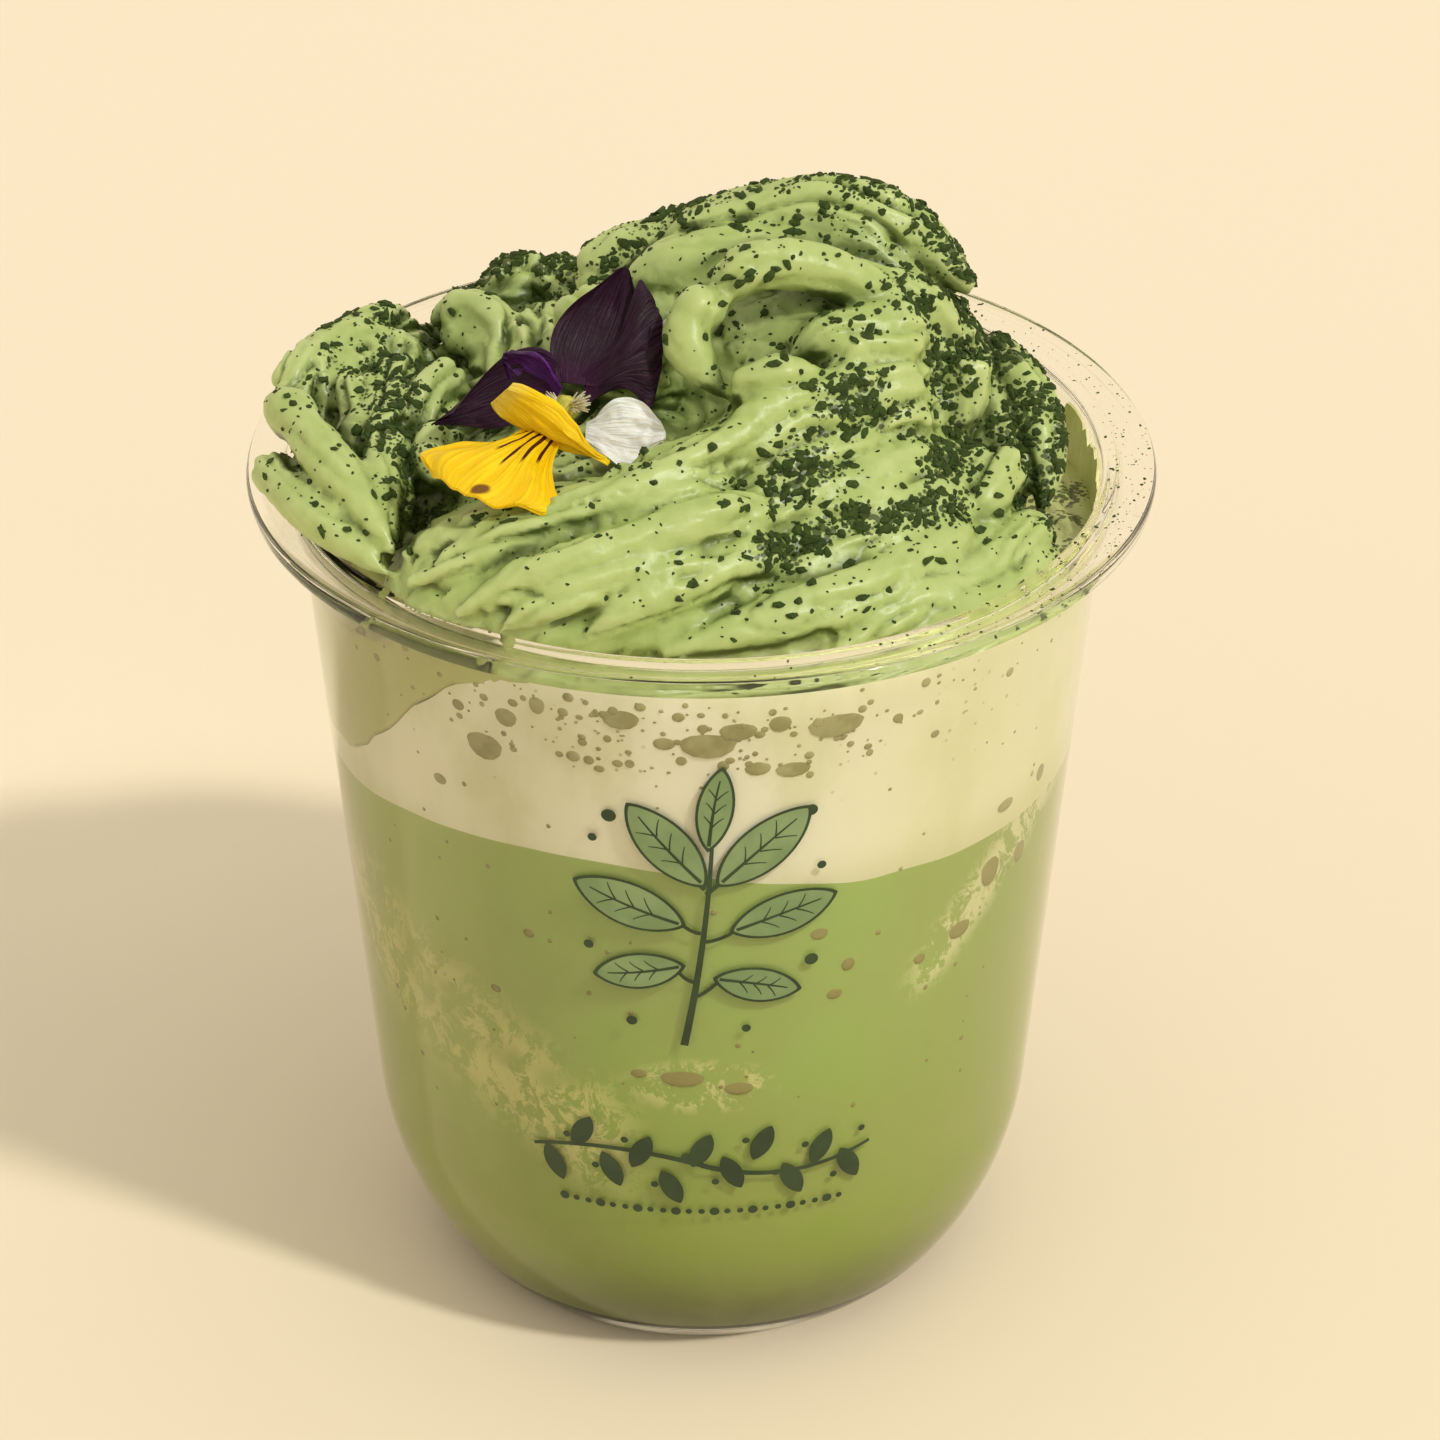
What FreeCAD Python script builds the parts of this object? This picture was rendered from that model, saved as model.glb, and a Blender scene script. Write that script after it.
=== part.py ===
"""Matcha frappe in a clear U-shaped cup, topped with piped cream and a viola flower.

Millimetres, +Z up.  The origin is the middle of the foot, on the table.  -Y is the front.
Polar angles are measured from +X, so the front of the cup is at -90 degrees.
"""
import FreeCAD, Part
import math
import os

import Sketcher

Vec = FreeCAD.Vector
doc = FreeCAD.newDocument("MatchaFrappe")

# ---------------------------------------------------------------------------------------------
# Driving dimensions
# ---------------------------------------------------------------------------------------------
DIMENSIONS = [
    ("cup_height", 98.3, "table to the top of the rim"),
    ("mouth_radius", 44.0, "outside of the wall, extended up to the rim's height"),
    ("wall_draft", 5.2, "lean of the wall from upright, degrees"),
    ("wall", 0.9, "thickness of the wall"),
    ("belly_height", 24.7, "height of the centre of the round bottom"),
    ("rim_reach", 5.0, "how far the flange that a lid snaps on stands out from the wall"),
    ("rim_edge", 1.6, "thickness of the flange"),
    ("rim_round", 0.7, "rounding of the flange's edges"),
    ("foot_height", 2.2, "foot ring, table to the round bottom"),
    ("foot_step", 2.0, "how far the foot ring stands in from the edge of the round bottom"),
    ("foot_wall", 2.4, "width of the foot ring"),
    ("foot_recess", 2.4, "hollow under the floor"),
    ("floor_height", 4.0, "table to the inside of the floor"),
    ("fill_gap", 0.15, "play between the contents and the wall"),
    ("tide_level", 69.0, "top of the matcha drink, on the axis"),
    ("tide_tilt", 3.0, "how much lower the drink's top is at the right wall"),
    ("tide_ripple", 1.3, "wave of the drink's top"),
    ("seat_depth", 5.8, "rim down to the top of the milk foam, where the cream sits"),
    ("seat_dip", 17.0, "how far the cream is pressed down at the left wall"),
    ("seat_dip_spread", 13.0, "size of that dip"),
    ("back_hollow", 5.0, "how far foam and cream sink at the back right"),
    ("layer_gap", 0.15, "play between two layers"),
    ("cream_depth", 3.3, "rim down to the cream along the wall, between the strokes"),
    ("heap_lift", -0.3, "height of the heap's base plane over the rim"),
    ("cream_mound", 1.0, "height of the masses under the strokes, as a share"),
    ("spill", 3.4, "how far the left folds lie out over the rim"),
    ("petal_skin", 0.5, "thickness of a petal"),
    ("flower_knob", 1.5, "radius of the flower's throat"),
]

FOLLOWING = [
    ("belly_round", "=(mouth_radius - tan(wall_draft * 1deg) * (cup_height - belly_height))"
     " * cos(wall_draft * 1deg)", "radius of the round bottom"),
    ("foot_radius", "=sqrt(belly_round ^ 2 - (belly_height - foot_height) ^ 2) - foot_step",
     "outside of the foot ring on the table"),
]

sheet = doc.addObject("Spreadsheet::Sheet", "Sizes")
for row, (alias, value, note) in enumerate(DIMENSIONS + FOLLOWING, start=1):
    sheet.set(f"A{row}", alias)
    sheet.set(f"B{row}", str(value))
    sheet.set(f"C{row}", note)
    sheet.setAlias(f"B{row}", alias)
doc.recompute()


def size(alias):
    """The number in the sheet under that alias."""
    return float(sheet.get(alias))


# ---------------------------------------------------------------------------------------------
# Half section of the cup's bowl, at some distance inside its outer surface
# ---------------------------------------------------------------------------------------------
def wall_radius(inset, height):
    """Radius of the straight wall at a height, inset from the cup's outer surface."""
    draft = math.radians(size("wall_draft"))
    lean = math.tan(draft) * (size("cup_height") - height)
    return size("mouth_radius") - inset / math.cos(draft) - lean


def rim_radius():
    """Outside radius of the flange."""
    return size("mouth_radius") + size("rim_reach")


def belly_radius(inset):
    """Radius of the round bottom, which is tangent to the wall and centred on the axis."""
    draft = math.radians(size("wall_draft"))
    return wall_radius(inset, size("belly_height")) * math.cos(draft)


def on_xz(owner, sketch):
    """Lays a sketch on the XZ plane, of its own body or of the document."""
    if owner is None:
        sketch.Placement = FreeCAD.Placement(Vec(), FreeCAD.Rotation(Vec(1, 0, 0), 90))
        return sketch
    plane = next(f for f in owner.Origin.OriginFeatures if f.Role == "XZ_Plane")
    sketch.AttachmentSupport = [(plane, "")]
    sketch.MapMode = "FlatFace"
    return sketch


def new_sketch(owner, name):
    maker = doc.addObject if owner is None else owner.newObject
    return on_xz(owner, maker("Sketcher::SketchObject", name))


def bind(sketch, index, name, expression):
    """Names a constraint and drives it from the sheet."""
    sketch.renameConstraint(index, name)
    sketch.setExpression(f"Constraints.{name}", expression)


def bowl_section(owner, name, inset, inset_cells, bottom, bottom_cells, top, top_cells, foot=False):
    """Closed half section: axis, floor (or foot), round belly, leaning wall and flat top."""
    sketch = new_sketch(owner, name)
    draft = math.radians(size("wall_draft"))
    centre = Vec(0, size("belly_height"), 0)
    radius = belly_radius(inset)
    low_angle = -math.acos(max(-1.0, min(1.0, (centre.y - bottom) / radius)))
    start = math.asin((bottom - centre.y) / radius)
    tangent = centre + Vec(math.cos(draft), -math.sin(draft), 0) * radius
    low = centre + Vec(math.cos(start), math.sin(start), 0) * radius
    rim = Vec(wall_radius(inset, top), top, 0)
    axis_low = Vec(0, 0 if foot else bottom, 0)
    belly = Part.ArcOfCircle(Part.Circle(centre, Vec(0, 0, 1), radius), start, -draft)
    sketch.addGeometry(belly, False)                                     # 0
    sketch.addGeometry(Part.LineSegment(tangent, rim), False)            # 1
    sketch.addGeometry(Part.LineSegment(rim, Vec(0, top, 0)), False)     # 2
    sketch.addGeometry(Part.LineSegment(Vec(0, top, 0), axis_low), False)  # 3
    if foot:
        foot_edge = Vec(size("foot_radius"), 0, 0)
        sketch.addGeometry(Part.LineSegment(axis_low, foot_edge), False)  # 4
        sketch.addGeometry(Part.LineSegment(foot_edge, low), False)      # 5
    else:
        sketch.addGeometry(Part.LineSegment(axis_low, low), False)       # 4
    last = 5 if foot else 4
    add = sketch.addConstraint
    add(Sketcher.Constraint("Tangent", 0, 2, 1, 1))
    add(Sketcher.Constraint("Coincident", 1, 2, 2, 1))
    add(Sketcher.Constraint("Coincident", 2, 2, 3, 1))
    add(Sketcher.Constraint("Coincident", 3, 2, 4, 1))
    if foot:
        add(Sketcher.Constraint("Coincident", 4, 2, 5, 1))
    add(Sketcher.Constraint("Coincident", last, 2, 0, 1))
    add(Sketcher.Constraint("Horizontal", 2))
    add(Sketcher.Constraint("Horizontal", 4))
    add(Sketcher.Constraint("PointOnObject", 2, 2, -2))
    add(Sketcher.Constraint("PointOnObject", 3, 2, -2))
    add(Sketcher.Constraint("PointOnObject", 0, 3, -2))
    bind(sketch, add(Sketcher.Constraint("DistanceY", -1, 1, 0, 3, centre.y)),
         "belly_centre", "Sizes.belly_height")
    bind(sketch, add(Sketcher.Constraint("DistanceY", -1, 1, 2, 2, top)), "top", top_cells)
    bind(sketch, add(Sketcher.Constraint("DistanceX", 2, 2, 1, 2, rim.x)), "mouth",
         f"Sizes.mouth_radius - ({inset_cells}) / cos(Sizes.wall_draft * 1deg)"
         f" - tan(Sizes.wall_draft * 1deg) * (Sizes.cup_height - ({top_cells}))")
    bind(sketch, add(Sketcher.Constraint("Angle", 1, math.pi / 2 - draft)),
         "lean", "90deg - Sizes.wall_draft * 1deg")
    if foot:
        add(Sketcher.Constraint("PointOnObject", 4, 1, -1))
        bind(sketch, add(Sketcher.Constraint("DistanceX", -1, 1, 4, 2, size("foot_radius"))),
             "foot", "Sizes.foot_radius")
        bind(sketch, add(Sketcher.Constraint("DistanceY", -1, 1, 5, 2, bottom)),
             "foot_top", bottom_cells)
    else:
        bind(sketch, add(Sketcher.Constraint("DistanceY", -1, 1, 4, 2, bottom)),
             "bottom", bottom_cells)
    return sketch


def box_section(owner, name, low, high, cells):
    """Rectangle in a half section; cells drive its left, right, bottom and top."""
    sketch = new_sketch(owner, name)
    corners = [Vec(low[0], low[1], 0), Vec(high[0], low[1], 0),
               Vec(high[0], high[1], 0), Vec(low[0], high[1], 0)]
    add = sketch.addConstraint
    for k in range(4):
        sketch.addGeometry(Part.LineSegment(corners[k], corners[(k + 1) % 4]), False)
    for k in range(4):
        add(Sketcher.Constraint("Coincident", k, 2, (k + 1) % 4, 1))
        add(Sketcher.Constraint("Horizontal" if k % 2 == 0 else "Vertical", k))
    left, right, bottom, top = cells
    if low[0] == 0:
        add(Sketcher.Constraint("PointOnObject", 0, 1, -2))
    else:
        bind(sketch, add(Sketcher.Constraint("DistanceX", -1, 1, 0, 1, low[0])), "inner", left)
    bind(sketch, add(Sketcher.Constraint("DistanceX", -1, 1, 0, 2, high[0])), "outer", right)
    if low[1] == 0:
        add(Sketcher.Constraint("PointOnObject", 0, 1, -1))
    else:
        bind(sketch, add(Sketcher.Constraint("DistanceY", -1, 1, 0, 1, low[1])), "low", bottom)
    bind(sketch, add(Sketcher.Constraint("DistanceY", -1, 1, 2, 2, high[1])), "high", top)
    return sketch


def turned(body, kind, name, sketch):
    """A full-turn Revolution or Groove of a sketch about the cup's axis."""
    feature = body.newObject(f"PartDesign::{kind}", name)
    feature.Profile = sketch
    feature.ReferenceAxis = (sketch, ["V_Axis"])
    feature.Angle = 360
    doc.recompute()
    return feature


# ---------------------------------------------------------------------------------------------
# Cup: one injection-moulded piece, with a flat flange, a round bottom and a hollow foot
# ---------------------------------------------------------------------------------------------
def ring_edges(shape, wanted):
    """Names of the circular edges with the wanted (radius, height) pairs."""
    names = []
    for k, edge in enumerate(shape.Edges, start=1):
        if not isinstance(edge.Curve, Part.Circle):
            continue
        for radius, height in wanted:
            same_radius = abs(edge.Curve.Radius - radius) < 1e-3
            if same_radius and abs(edge.Curve.Center.z - height) < 1e-3:
                names.append(f"Edge{k}")
    return names


def make_cup():
    body = doc.addObject("PartDesign::Body", "cup")
    top = size("cup_height")
    inset = size("wall")
    outside = bowl_section(body, "OutsideSection", 0, "0", size("foot_height"),
                           "Sizes.foot_height", top, "Sizes.cup_height", foot=True)
    turned(body, "Revolution", "Outside", outside)
    under = top - size("rim_edge")
    ring_inner = wall_radius(inset / 2, under)
    flange = box_section(
        body, "FlangeSection", (ring_inner, under), (rim_radius(), top),
        ("Sizes.mouth_radius - Sizes.wall / 2 / cos(Sizes.wall_draft * 1deg)"
         " - tan(Sizes.wall_draft * 1deg) * Sizes.rim_edge",
         "Sizes.mouth_radius + Sizes.rim_reach", "Sizes.cup_height - Sizes.rim_edge", "Sizes.cup_height"))
    turned(body, "Revolution", "Flange", flange)
    inside = bowl_section(body, "InsideSection", inset, "Sizes.wall", size("floor_height"),
                          "Sizes.floor_height", top, "Sizes.cup_height")
    turned(body, "Groove", "Inside", inside)
    recess = box_section(
        body, "RecessSection", (0, 0), (size("foot_radius") - size("foot_wall"), size("foot_recess")),
        ("", "Sizes.foot_radius - Sizes.foot_wall", "", "Sizes.foot_recess"))
    hollow = turned(body, "Groove", "FootRecess", recess)
    mouth = wall_radius(inset, top)
    rounding = body.newObject("PartDesign::Fillet", "RimRounding")
    edges = ring_edges(hollow.Shape, [(rim_radius(), top), (rim_radius(), under),
                                      (mouth, top)])
    rounding.Base = (hollow, edges)
    rounding.setExpression("Radius", "min(Sizes.rim_round; 0.48 * Sizes.rim_edge)")
    body.Tip = rounding
    doc.recompute()
    body.Label = "cup"
    return body


# ---------------------------------------------------------------------------------------------
# Layers in the cup: matcha drink below, milk foam above
# ---------------------------------------------------------------------------------------------
def tide_height(x, y):
    """Top of the drink: a little lower at the right, with one slow wave."""
    reach = size("mouth_radius")
    tilt = -size("tide_tilt") * x / reach
    wave = size("tide_ripple") * math.cos(2.2 * x / reach + 0.7) * math.cos(1.6 * y / reach)
    return size("tide_level") + tilt + wave


def sunken(x, y):
    """How far the surface has sunk, growing towards the back right of the wall."""
    share = max(0.0, 0.8 * x + 0.6 * y) / size("mouth_radius")
    return size("back_hollow") * share ** 2


def seat_height(x, y):
    """Underside of the cream: level, but pressed down along the left wall."""
    left = Vec(-0.86, -0.40, 0) * size("mouth_radius")
    away = ((x - left.x) ** 2 + (y - left.y) ** 2) / (2 * size("seat_dip_spread") ** 2)
    return size("cup_height") - size("seat_depth") - sunken(x, y) - size("seat_dip") * math.exp(-away)


def block_under(name, height, offset):
    """Solid below a smooth surface z = height(x, y) + offset, wider than the cup."""
    reach = rim_radius() + 5
    steps = 20
    grid = []
    for i in range(steps + 1):
        x = reach * (2 * i / steps - 1)
        line = []
        for j in range(steps + 1):
            y = reach * (2 * j / steps - 1)
            line.append(Vec(x, y, height(x, y) + offset))
        grid.append(line)
    surface = Part.BSplineSurface()
    surface.interpolate(grid)
    block = doc.addObject("Part::Feature", name)
    block.Shape = surface.toShape().extrude(Vec(0, 0, -2 * size("cup_height")))
    return block


def boolean(kind, name, base, tool):
    result = doc.addObject(f"Part::{kind}", name)
    result.Base = base
    result.Tool = tool
    return result


def make_layers():
    inset = size("wall") + size("fill_gap")
    cells = "Sizes.wall + Sizes.fill_gap"
    section = bowl_section(None, "FillSection", inset, cells,
                           size("floor_height") + size("fill_gap"),
                           "Sizes.floor_height + Sizes.fill_gap",
                           size("cup_height"), "Sizes.cup_height")
    fill = doc.addObject("Part::Revolution", "Fill")
    fill.Source = section
    fill.Axis = Vec(0, 0, 1)
    fill.Angle = 360
    fill.Solid = True
    below_tide = block_under("BelowTide", tide_height, 0)
    below_foam = block_under("BelowFoam", tide_height, size("layer_gap"))
    below_cream = block_under("BelowCream", seat_height, -size("layer_gap"))
    lower = boolean("Common", "LowerFill", fill, below_tide)
    drink = boolean("Common", "matcha_drink", lower, below_cream)
    drink.Label = "matcha_drink"
    upper = boolean("Cut", "UpperFill", fill, below_foam)
    foam = boolean("Common", "milk_foam", upper, below_cream)
    foam.Label = "milk_foam"
    doc.recompute()
    return [drink, foam]


# ---------------------------------------------------------------------------------------------
# Cream: a heap of piped strokes.  Each stroke is a parabola through three points, with a half
# thickness at either end, on a thicker body that is sunk towards the middle of its heap.
# The tables are drawn over a mouth of TABLE_MOUTH, with heights from the heap's base plane.
# ---------------------------------------------------------------------------------------------
STROKES = {
    # name: (start, middle, end, half thickness at the start, half thickness at the end)
    "cap_top": ((-6, 8, 17), (12, 9, 24.5), (29, 5, 19), 4.4, 4.2),
    "cap_front": ((-9.5, 3, 18), (9.5, 4, 21.5), (29, 1, 15.5), 3.6, 3.2),
    "cap_left": ((-13, 10, 14.5), (-5, 12, 18.5), (6.5, 12, 21.5), 4, 3.6),
    "flank_left": ((-13.5, 2, 18.5), (-9.5, -3, 16.5), (-2, -6, 16.5), 4, 3),
    "flank_front": ((-4.5, 6, 18), (-5, 1, 16), (-2, -5, 14.5), 3.5, 3),
    "hood_top": ((1, -7, 23), (11.5, -4, 24.5), (27, -3, 14.5), 2.6, 2.8),
    "hood_right": ((13, -3, 22.5), (21, -1, 20), (28, -1, 14.5), 2.4, 2.6),
    "curl_turn": ((3, -8, 24.5), (-1.5, -11, 20), (3, -15, 16.5), 2.6, 2.4),
    "curl_end": ((3, -15, 16.5), (7, -16, 17.5), (12.5, -14, 19), 2.2, 2.4),
    "tongue_top": ((24, -5, 18), (16.5, -8, 19.5), (9, -11, 18.5), 3, 2.4),
    "tongue_under": ((23.5, -7, 17), (18, -10, 18.5), (13, -12, 18.5), 2.2, 1.8),
    "hanging_strand": ((28.5, -3, 15), (28, -5, 10.5), (26, -9, 7.5), 2.6, 2.4),
    "front_1": ((24.5, -8, 15.5), (12.5, -15, 15.5), (-3, -25, 13.5), 2.3, 2.2),
    "front_1_tail": ((6, -19, 14), (-4, -26, 11), (-15.5, -31, 8.5), 1.8, 1.8),
    "front_2": ((25, -9, 13.5), (14.5, -16, 13.5), (1, -25, 12), 2.3, 2),
    "front_3": ((25, -11, 11), (14.5, -18, 11), (0, -28, 8), 2.4, 2.2),
    "front_4": ((25.5, -13, 7.5), (15, -21, 8), (-0.5, -31, 6.5), 2.5, 2.2),
    "front_5": ((27, -14, 4.5), (17.5, -25, 3.5), (-4, -36, 1.5), 2.6, 2.4),
    "front_6": ((27.5, -17, 1.5), (18.5, -30, 0.5), (-4, -39.5, -0.5), 3, 3),
    "front_5_under": ((26, -19, 2.5), (15, -28, 2.5), (3.5, -33, 3), 2.2, 2),
    "front_7": ((36, -13, 0.5), (28, -26, -0.5), (12, -38, -1.5), 2.8, 2.4),
    "front_8": ((37, -15, -2.5), (31, -27, -2), (20, -36, -2), 2.6, 2.2),
    "ledge_back": ((-9.5, -28, 11), (-19.5, -31, 8), (-30.5, -34, 5.5), 2.2, 2),
    "ledge_edge": ((0, -29, 8), (-12.5, -34, 7), (-24, -38, 4), 2.6, 2.2),
    "drip_right": ((-2, -33, 6), (-7, -37, 3.5), (-12.5, -39.5, 1.5), 2.2, 1.8),
    "drip_left": ((-6, -34, 5), (-14, -38, 4.5), (-20.5, -39.5, 3.5), 1.8, 1.6),
    "ledge_inner": ((-14, -28.5, 6.6), (-22, -30.5, 6.5), (-29, -29, 6), 2.2, 2),
    "lobe_upper": ((-45.5, -6, 8.5), (-39, -18, 7.5), (-32.5, -30, 4.5), 3, 2.4),
    "lobe_lower": ((-46, -14, 5), (-40, -23, 4.5), (-33.5, -31, 4.5), 2.6, 2.2),
    "back_left_ring": ((-44.5, -4, 7.5), (-38.5, 10, 7.5), (-28.5, 20, 6), 3.4, 3),
    "left_fold_1": ((-33.5, 6, 9), (-32.5, -6, 8.5), (-37, -14, 7), 2.4, 2),
    "left_fold_2": ((-38, 2, 10), (-36, -6, 7.5), (-38.5, -12, 7), 2.2, 2),
    "left_fold_3": ((-31.5, -10, 8.5), (-33.5, -18, 7), (-31.5, -26, 5.5), 2.2, 2),
    "left_hook": ((-29.5, 14, 10), (-23.5, 12, 11), (-22, 4, 10.5), 2.4, 2.2),
    "left_drip": ((-25.5, 2, 9.5), (-29, -4, 10), (-29.5, -10, 8.5), 2, 1.6),
    "left_peak": ((-24.5, 20, 8), (-19, 20, 12.5), (-14, 16, 11), 3.6, 3.6),
    "valley_fold": ((-25.5, -18, 7), (-28.5, -14, 8), (-24.5, -10, 9.5), 2.2, 2),
    "peak_foot": ((-20.5, 8, 10), (-17.5, 2, 9.5), (-20.5, -6, 8.5), 3, 2.6),
    "back_1": ((25, 11, 10), (15, 24, 8), (-4, 28, 6), 3.4, 3),
    "back_2": ((25, 21, 2), (14, 33, 1), (-5, 36, -0.5), 3.2, 3),
    "back_3": ((-4, 31, 3), (-17, 32, 3), (-29, 25, 3), 3.2, 3),
    "right_lobe": ((30, 4, 10), (35.5, -2, 6.5), (36, -12, 1), 3, 2.8),
    "right_back_lobe": ((29, 10, 8), (34, 7, 6.5), (36.5, 1, 4), 2.6, 2.2),
    "right_knuckle": ((33, -10, 6), (30.5, -16, 4.5), (28, -20, 2), 2.4, 2.2),
}
MOUNDS = [
    # (centre, half axes) of the round masses under the strokes; the heights are driven by a cell
    ((13, 4, -2), (21, 20, 24)),
    ((12, -10, -4), (22, 24, 16)),
    ((-24, 2, -5), (18, 30, 12.5)),
    ((-8, -12, -4), (24, 22, 13)),
    ((-14, 8, -2), (14, 16, 15)),
    ((20, -8, -6), (15, 24, 14)),
    ((0, -22, -5), (28, 17, 10)),
    ((0, 20, -6), (26, 20, 12)),
]
HEAPS = ((4, 0, -10), (-24, 2, -10))
TABLE_MOUTH = 43.1


def spread():
    """How much wider the cup's mouth is than the one the tables are drawn for."""
    return wall_radius(size("wall"), size("cup_height")) / TABLE_MOUTH


def placed(point):
    """A point of the tables, over this cup's mouth."""
    base = size("cup_height") + size("heap_lift")
    return Vec(point[0] * spread(), point[1] * spread(), point[2] + base)


def through(start, middle, end, steps):
    """Points along the parabola through three points."""
    handle = middle * 2 - (start + end) * 0.5
    points = []
    for k in range(steps + 1):
        t = k / steps
        points.append(start * (1 - t) ** 2 + handle * (2 * t * (1 - t)) + end * t ** 2)
    return points


def cream_balls():
    """Balls strung along every stroke and its sunken body: (centre, radius)."""
    steps = 16
    taper_length = 0.18
    body_sink = 4.6
    body_extra = 2.6
    balls = []
    for start, middle, end, first, last in STROKES.values():
        heap = placed(HEAPS[0] if start[0] > -20 else HEAPS[1])
        start, middle, end = placed(start), placed(middle), placed(end)
        crest = through(start, middle, end, steps)
        for k, point in enumerate(crest):
            t = k / steps
            taper = math.sin(min(1.0, min(t, 1 - t) / taper_length) * math.pi / 2)
            half = (first + (last - first) * t) * (0.25 + 0.75 * taper)
            balls.append((point, half))
            inward = (heap - point).normalize()
            balls.append((point + inward * body_sink, half + body_extra * taper))
    return balls


def cream_height(x, y, balls):
    """Top of the heap at a place: the highest of the mounds, the strokes and the level cream."""
    best = size("cup_height") - size("cream_depth") - sunken(x, y)
    lift = size("cream_mound")
    k = spread()
    for centre, axes in MOUNDS:
        middle = placed(centre)
        off = ((x - middle.x) / axes[0] / k) ** 2 + ((y - middle.y) / axes[1] / k) ** 2
        if off < 1:
            best = max(best, middle.z + lift * axes[2] * math.sqrt(1 - off))
    for centre, radius in balls:
        off = radius * radius - (x - centre.x) ** 2 - (y - centre.y) ** 2
        if off > 0:
            best = max(best, centre.z + math.sqrt(off))
    return best


def closed_solid(points, facets, name):
    """Solid from a watertight list of triangles."""
    shell = Part.Shape()
    shell.makeShapeFromMesh((points, facets), 0.001)
    solid = Part.Solid(Part.Shell(shell.Faces))
    if solid.Volume < 0:
        solid.reverse()
    feature = doc.addObject("Part::Feature", name)
    feature.Shape = solid
    feature.Label = name
    return feature


def make_cream():
    """One ring loop per angle: along the seat, up the wall, maybe over the rim, back over the top."""
    sectors = 96
    seat_rings = 8
    top_rings = 22
    inset = size("wall") + size("fill_gap")
    rim = size("cup_height")
    play = size("fill_gap") + size("layer_gap")
    balls = cream_balls()
    loops = []
    for s in range(sectors):
        angle = 2 * math.pi * s / sectors
        along = Vec(math.cos(angle), math.sin(angle), 0)
        low = seat_height(0, 0)
        for _ in range(4):
            reach = wall_radius(inset, low)
            low = seat_height(along.x * reach, along.y * reach)
        # the folds lie out over the rim on the left, between these two angles
        turn = math.degrees(angle) % 360
        over = max(0.0, 1 - ((turn - 200) / 32) ** 2) ** 0.5
        lip = wall_radius(inset, rim)
        edge = lip + size("spill") * over
        top = cream_height(along.x * (edge - 0.8), along.y * (edge - 0.8), balls)
        loop = []
        for k in range(1, seat_rings + 1):
            r = reach * k / seat_rings
            loop.append(Vec(along.x * r, along.y * r, seat_height(along.x * r, along.y * r)))
        if over > 0:
            ledge = rim + play
            top = max(top, ledge + 1.5)
            side = [(wall_radius(inset, (low + ledge) / 2), (low + ledge) / 2),
                    (lip, ledge), (edge, ledge + 0.4), (edge, top - 0.6)]
        else:
            top = min(top, rim - 1.0)
            side = []
            for share in (0.3, 0.6, 0.85, 1.0):
                z = low + (top - low) * share
                side.append((wall_radius(inset, z), z))
            edge = side[-1][0]
        loop += [Vec(along.x * r, along.y * r, z) for r, z in side]
        for k in range(top_rings - 1, 0, -1):
            r = (edge - 0.5) * k / (top_rings - 1)
            x, y = along.x * r, along.y * r
            loop.append(Vec(x, y, cream_height(x, y, balls)))
        loops.append(loop)
    count = len(loops[0])
    points = [Vec(0, 0, seat_height(0, 0)), Vec(0, 0, cream_height(0, 0, balls))]
    for loop in loops:
        points += loop
    facets = []
    for s in range(sectors):
        a = 2 + s * count
        b = 2 + (s + 1) % sectors * count
        facets.append((0, b, a))
        for k in range(count - 1):
            facets.append((a + k, b + k, b + k + 1))
            facets.append((a + k, b + k + 1, a + k + 1))
        facets.append((1, a + count - 1, b + count - 1))
    return closed_solid(points, facets, "whipped_cream")


# ---------------------------------------------------------------------------------------------
# Flower: a viola with purple, yellow and white petals around a knob
# ---------------------------------------------------------------------------------------------
KNOB = (-14.2, -15.0, 13.6)
PETALS = {
    # name: (root, tip, half width, where it is widest, dome, twist of the edges)
    "petal_purple_upper": ((-13, -13.2, 15.6), (-8.6, -4.6, 24.4), (5.0, -0.4, -0.6), 0.55, 1.4, 0.8),
    "petal_purple_right": ((-12.2, -13, 14.8), (-4, -9.4, 18.6), (-0.4, 4.6, 4.4), 0.72, 1.0, 0.6),
    "petal_purple_left": ((-15.8, -14.2, 15.2), (-27.5, -17, 13.6), (0.6, 3.4, 3.4), 0.45, 1.2, -0.6),
    "petal_yellow_lip": ((-14.8, -17.4, 12.9), (-22.5, -31.4, 11.4), (7.6, -2.6, -1.6), 0.60, 1.1, 0.6),
    "petal_yellow_side": ((-20.6, -18, 17), (-9.6, -22.4, 12), (1.3, -1.4, 1.5), 0.30, 1.0, 0.5),
    "petal_white_right": ((-12, -16.4, 13), (-4, -18.6, 13.4), (-0.2, -2.2, -3.2), 0.60, 0.8, 0.6),
    "petal_white_back": ((-9.8, -10.2, 14.4), (-3.2, -7, 17.6), (-0.6, 2.2, 2.2), 0.60, 0.6, 0.4),
}


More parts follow.
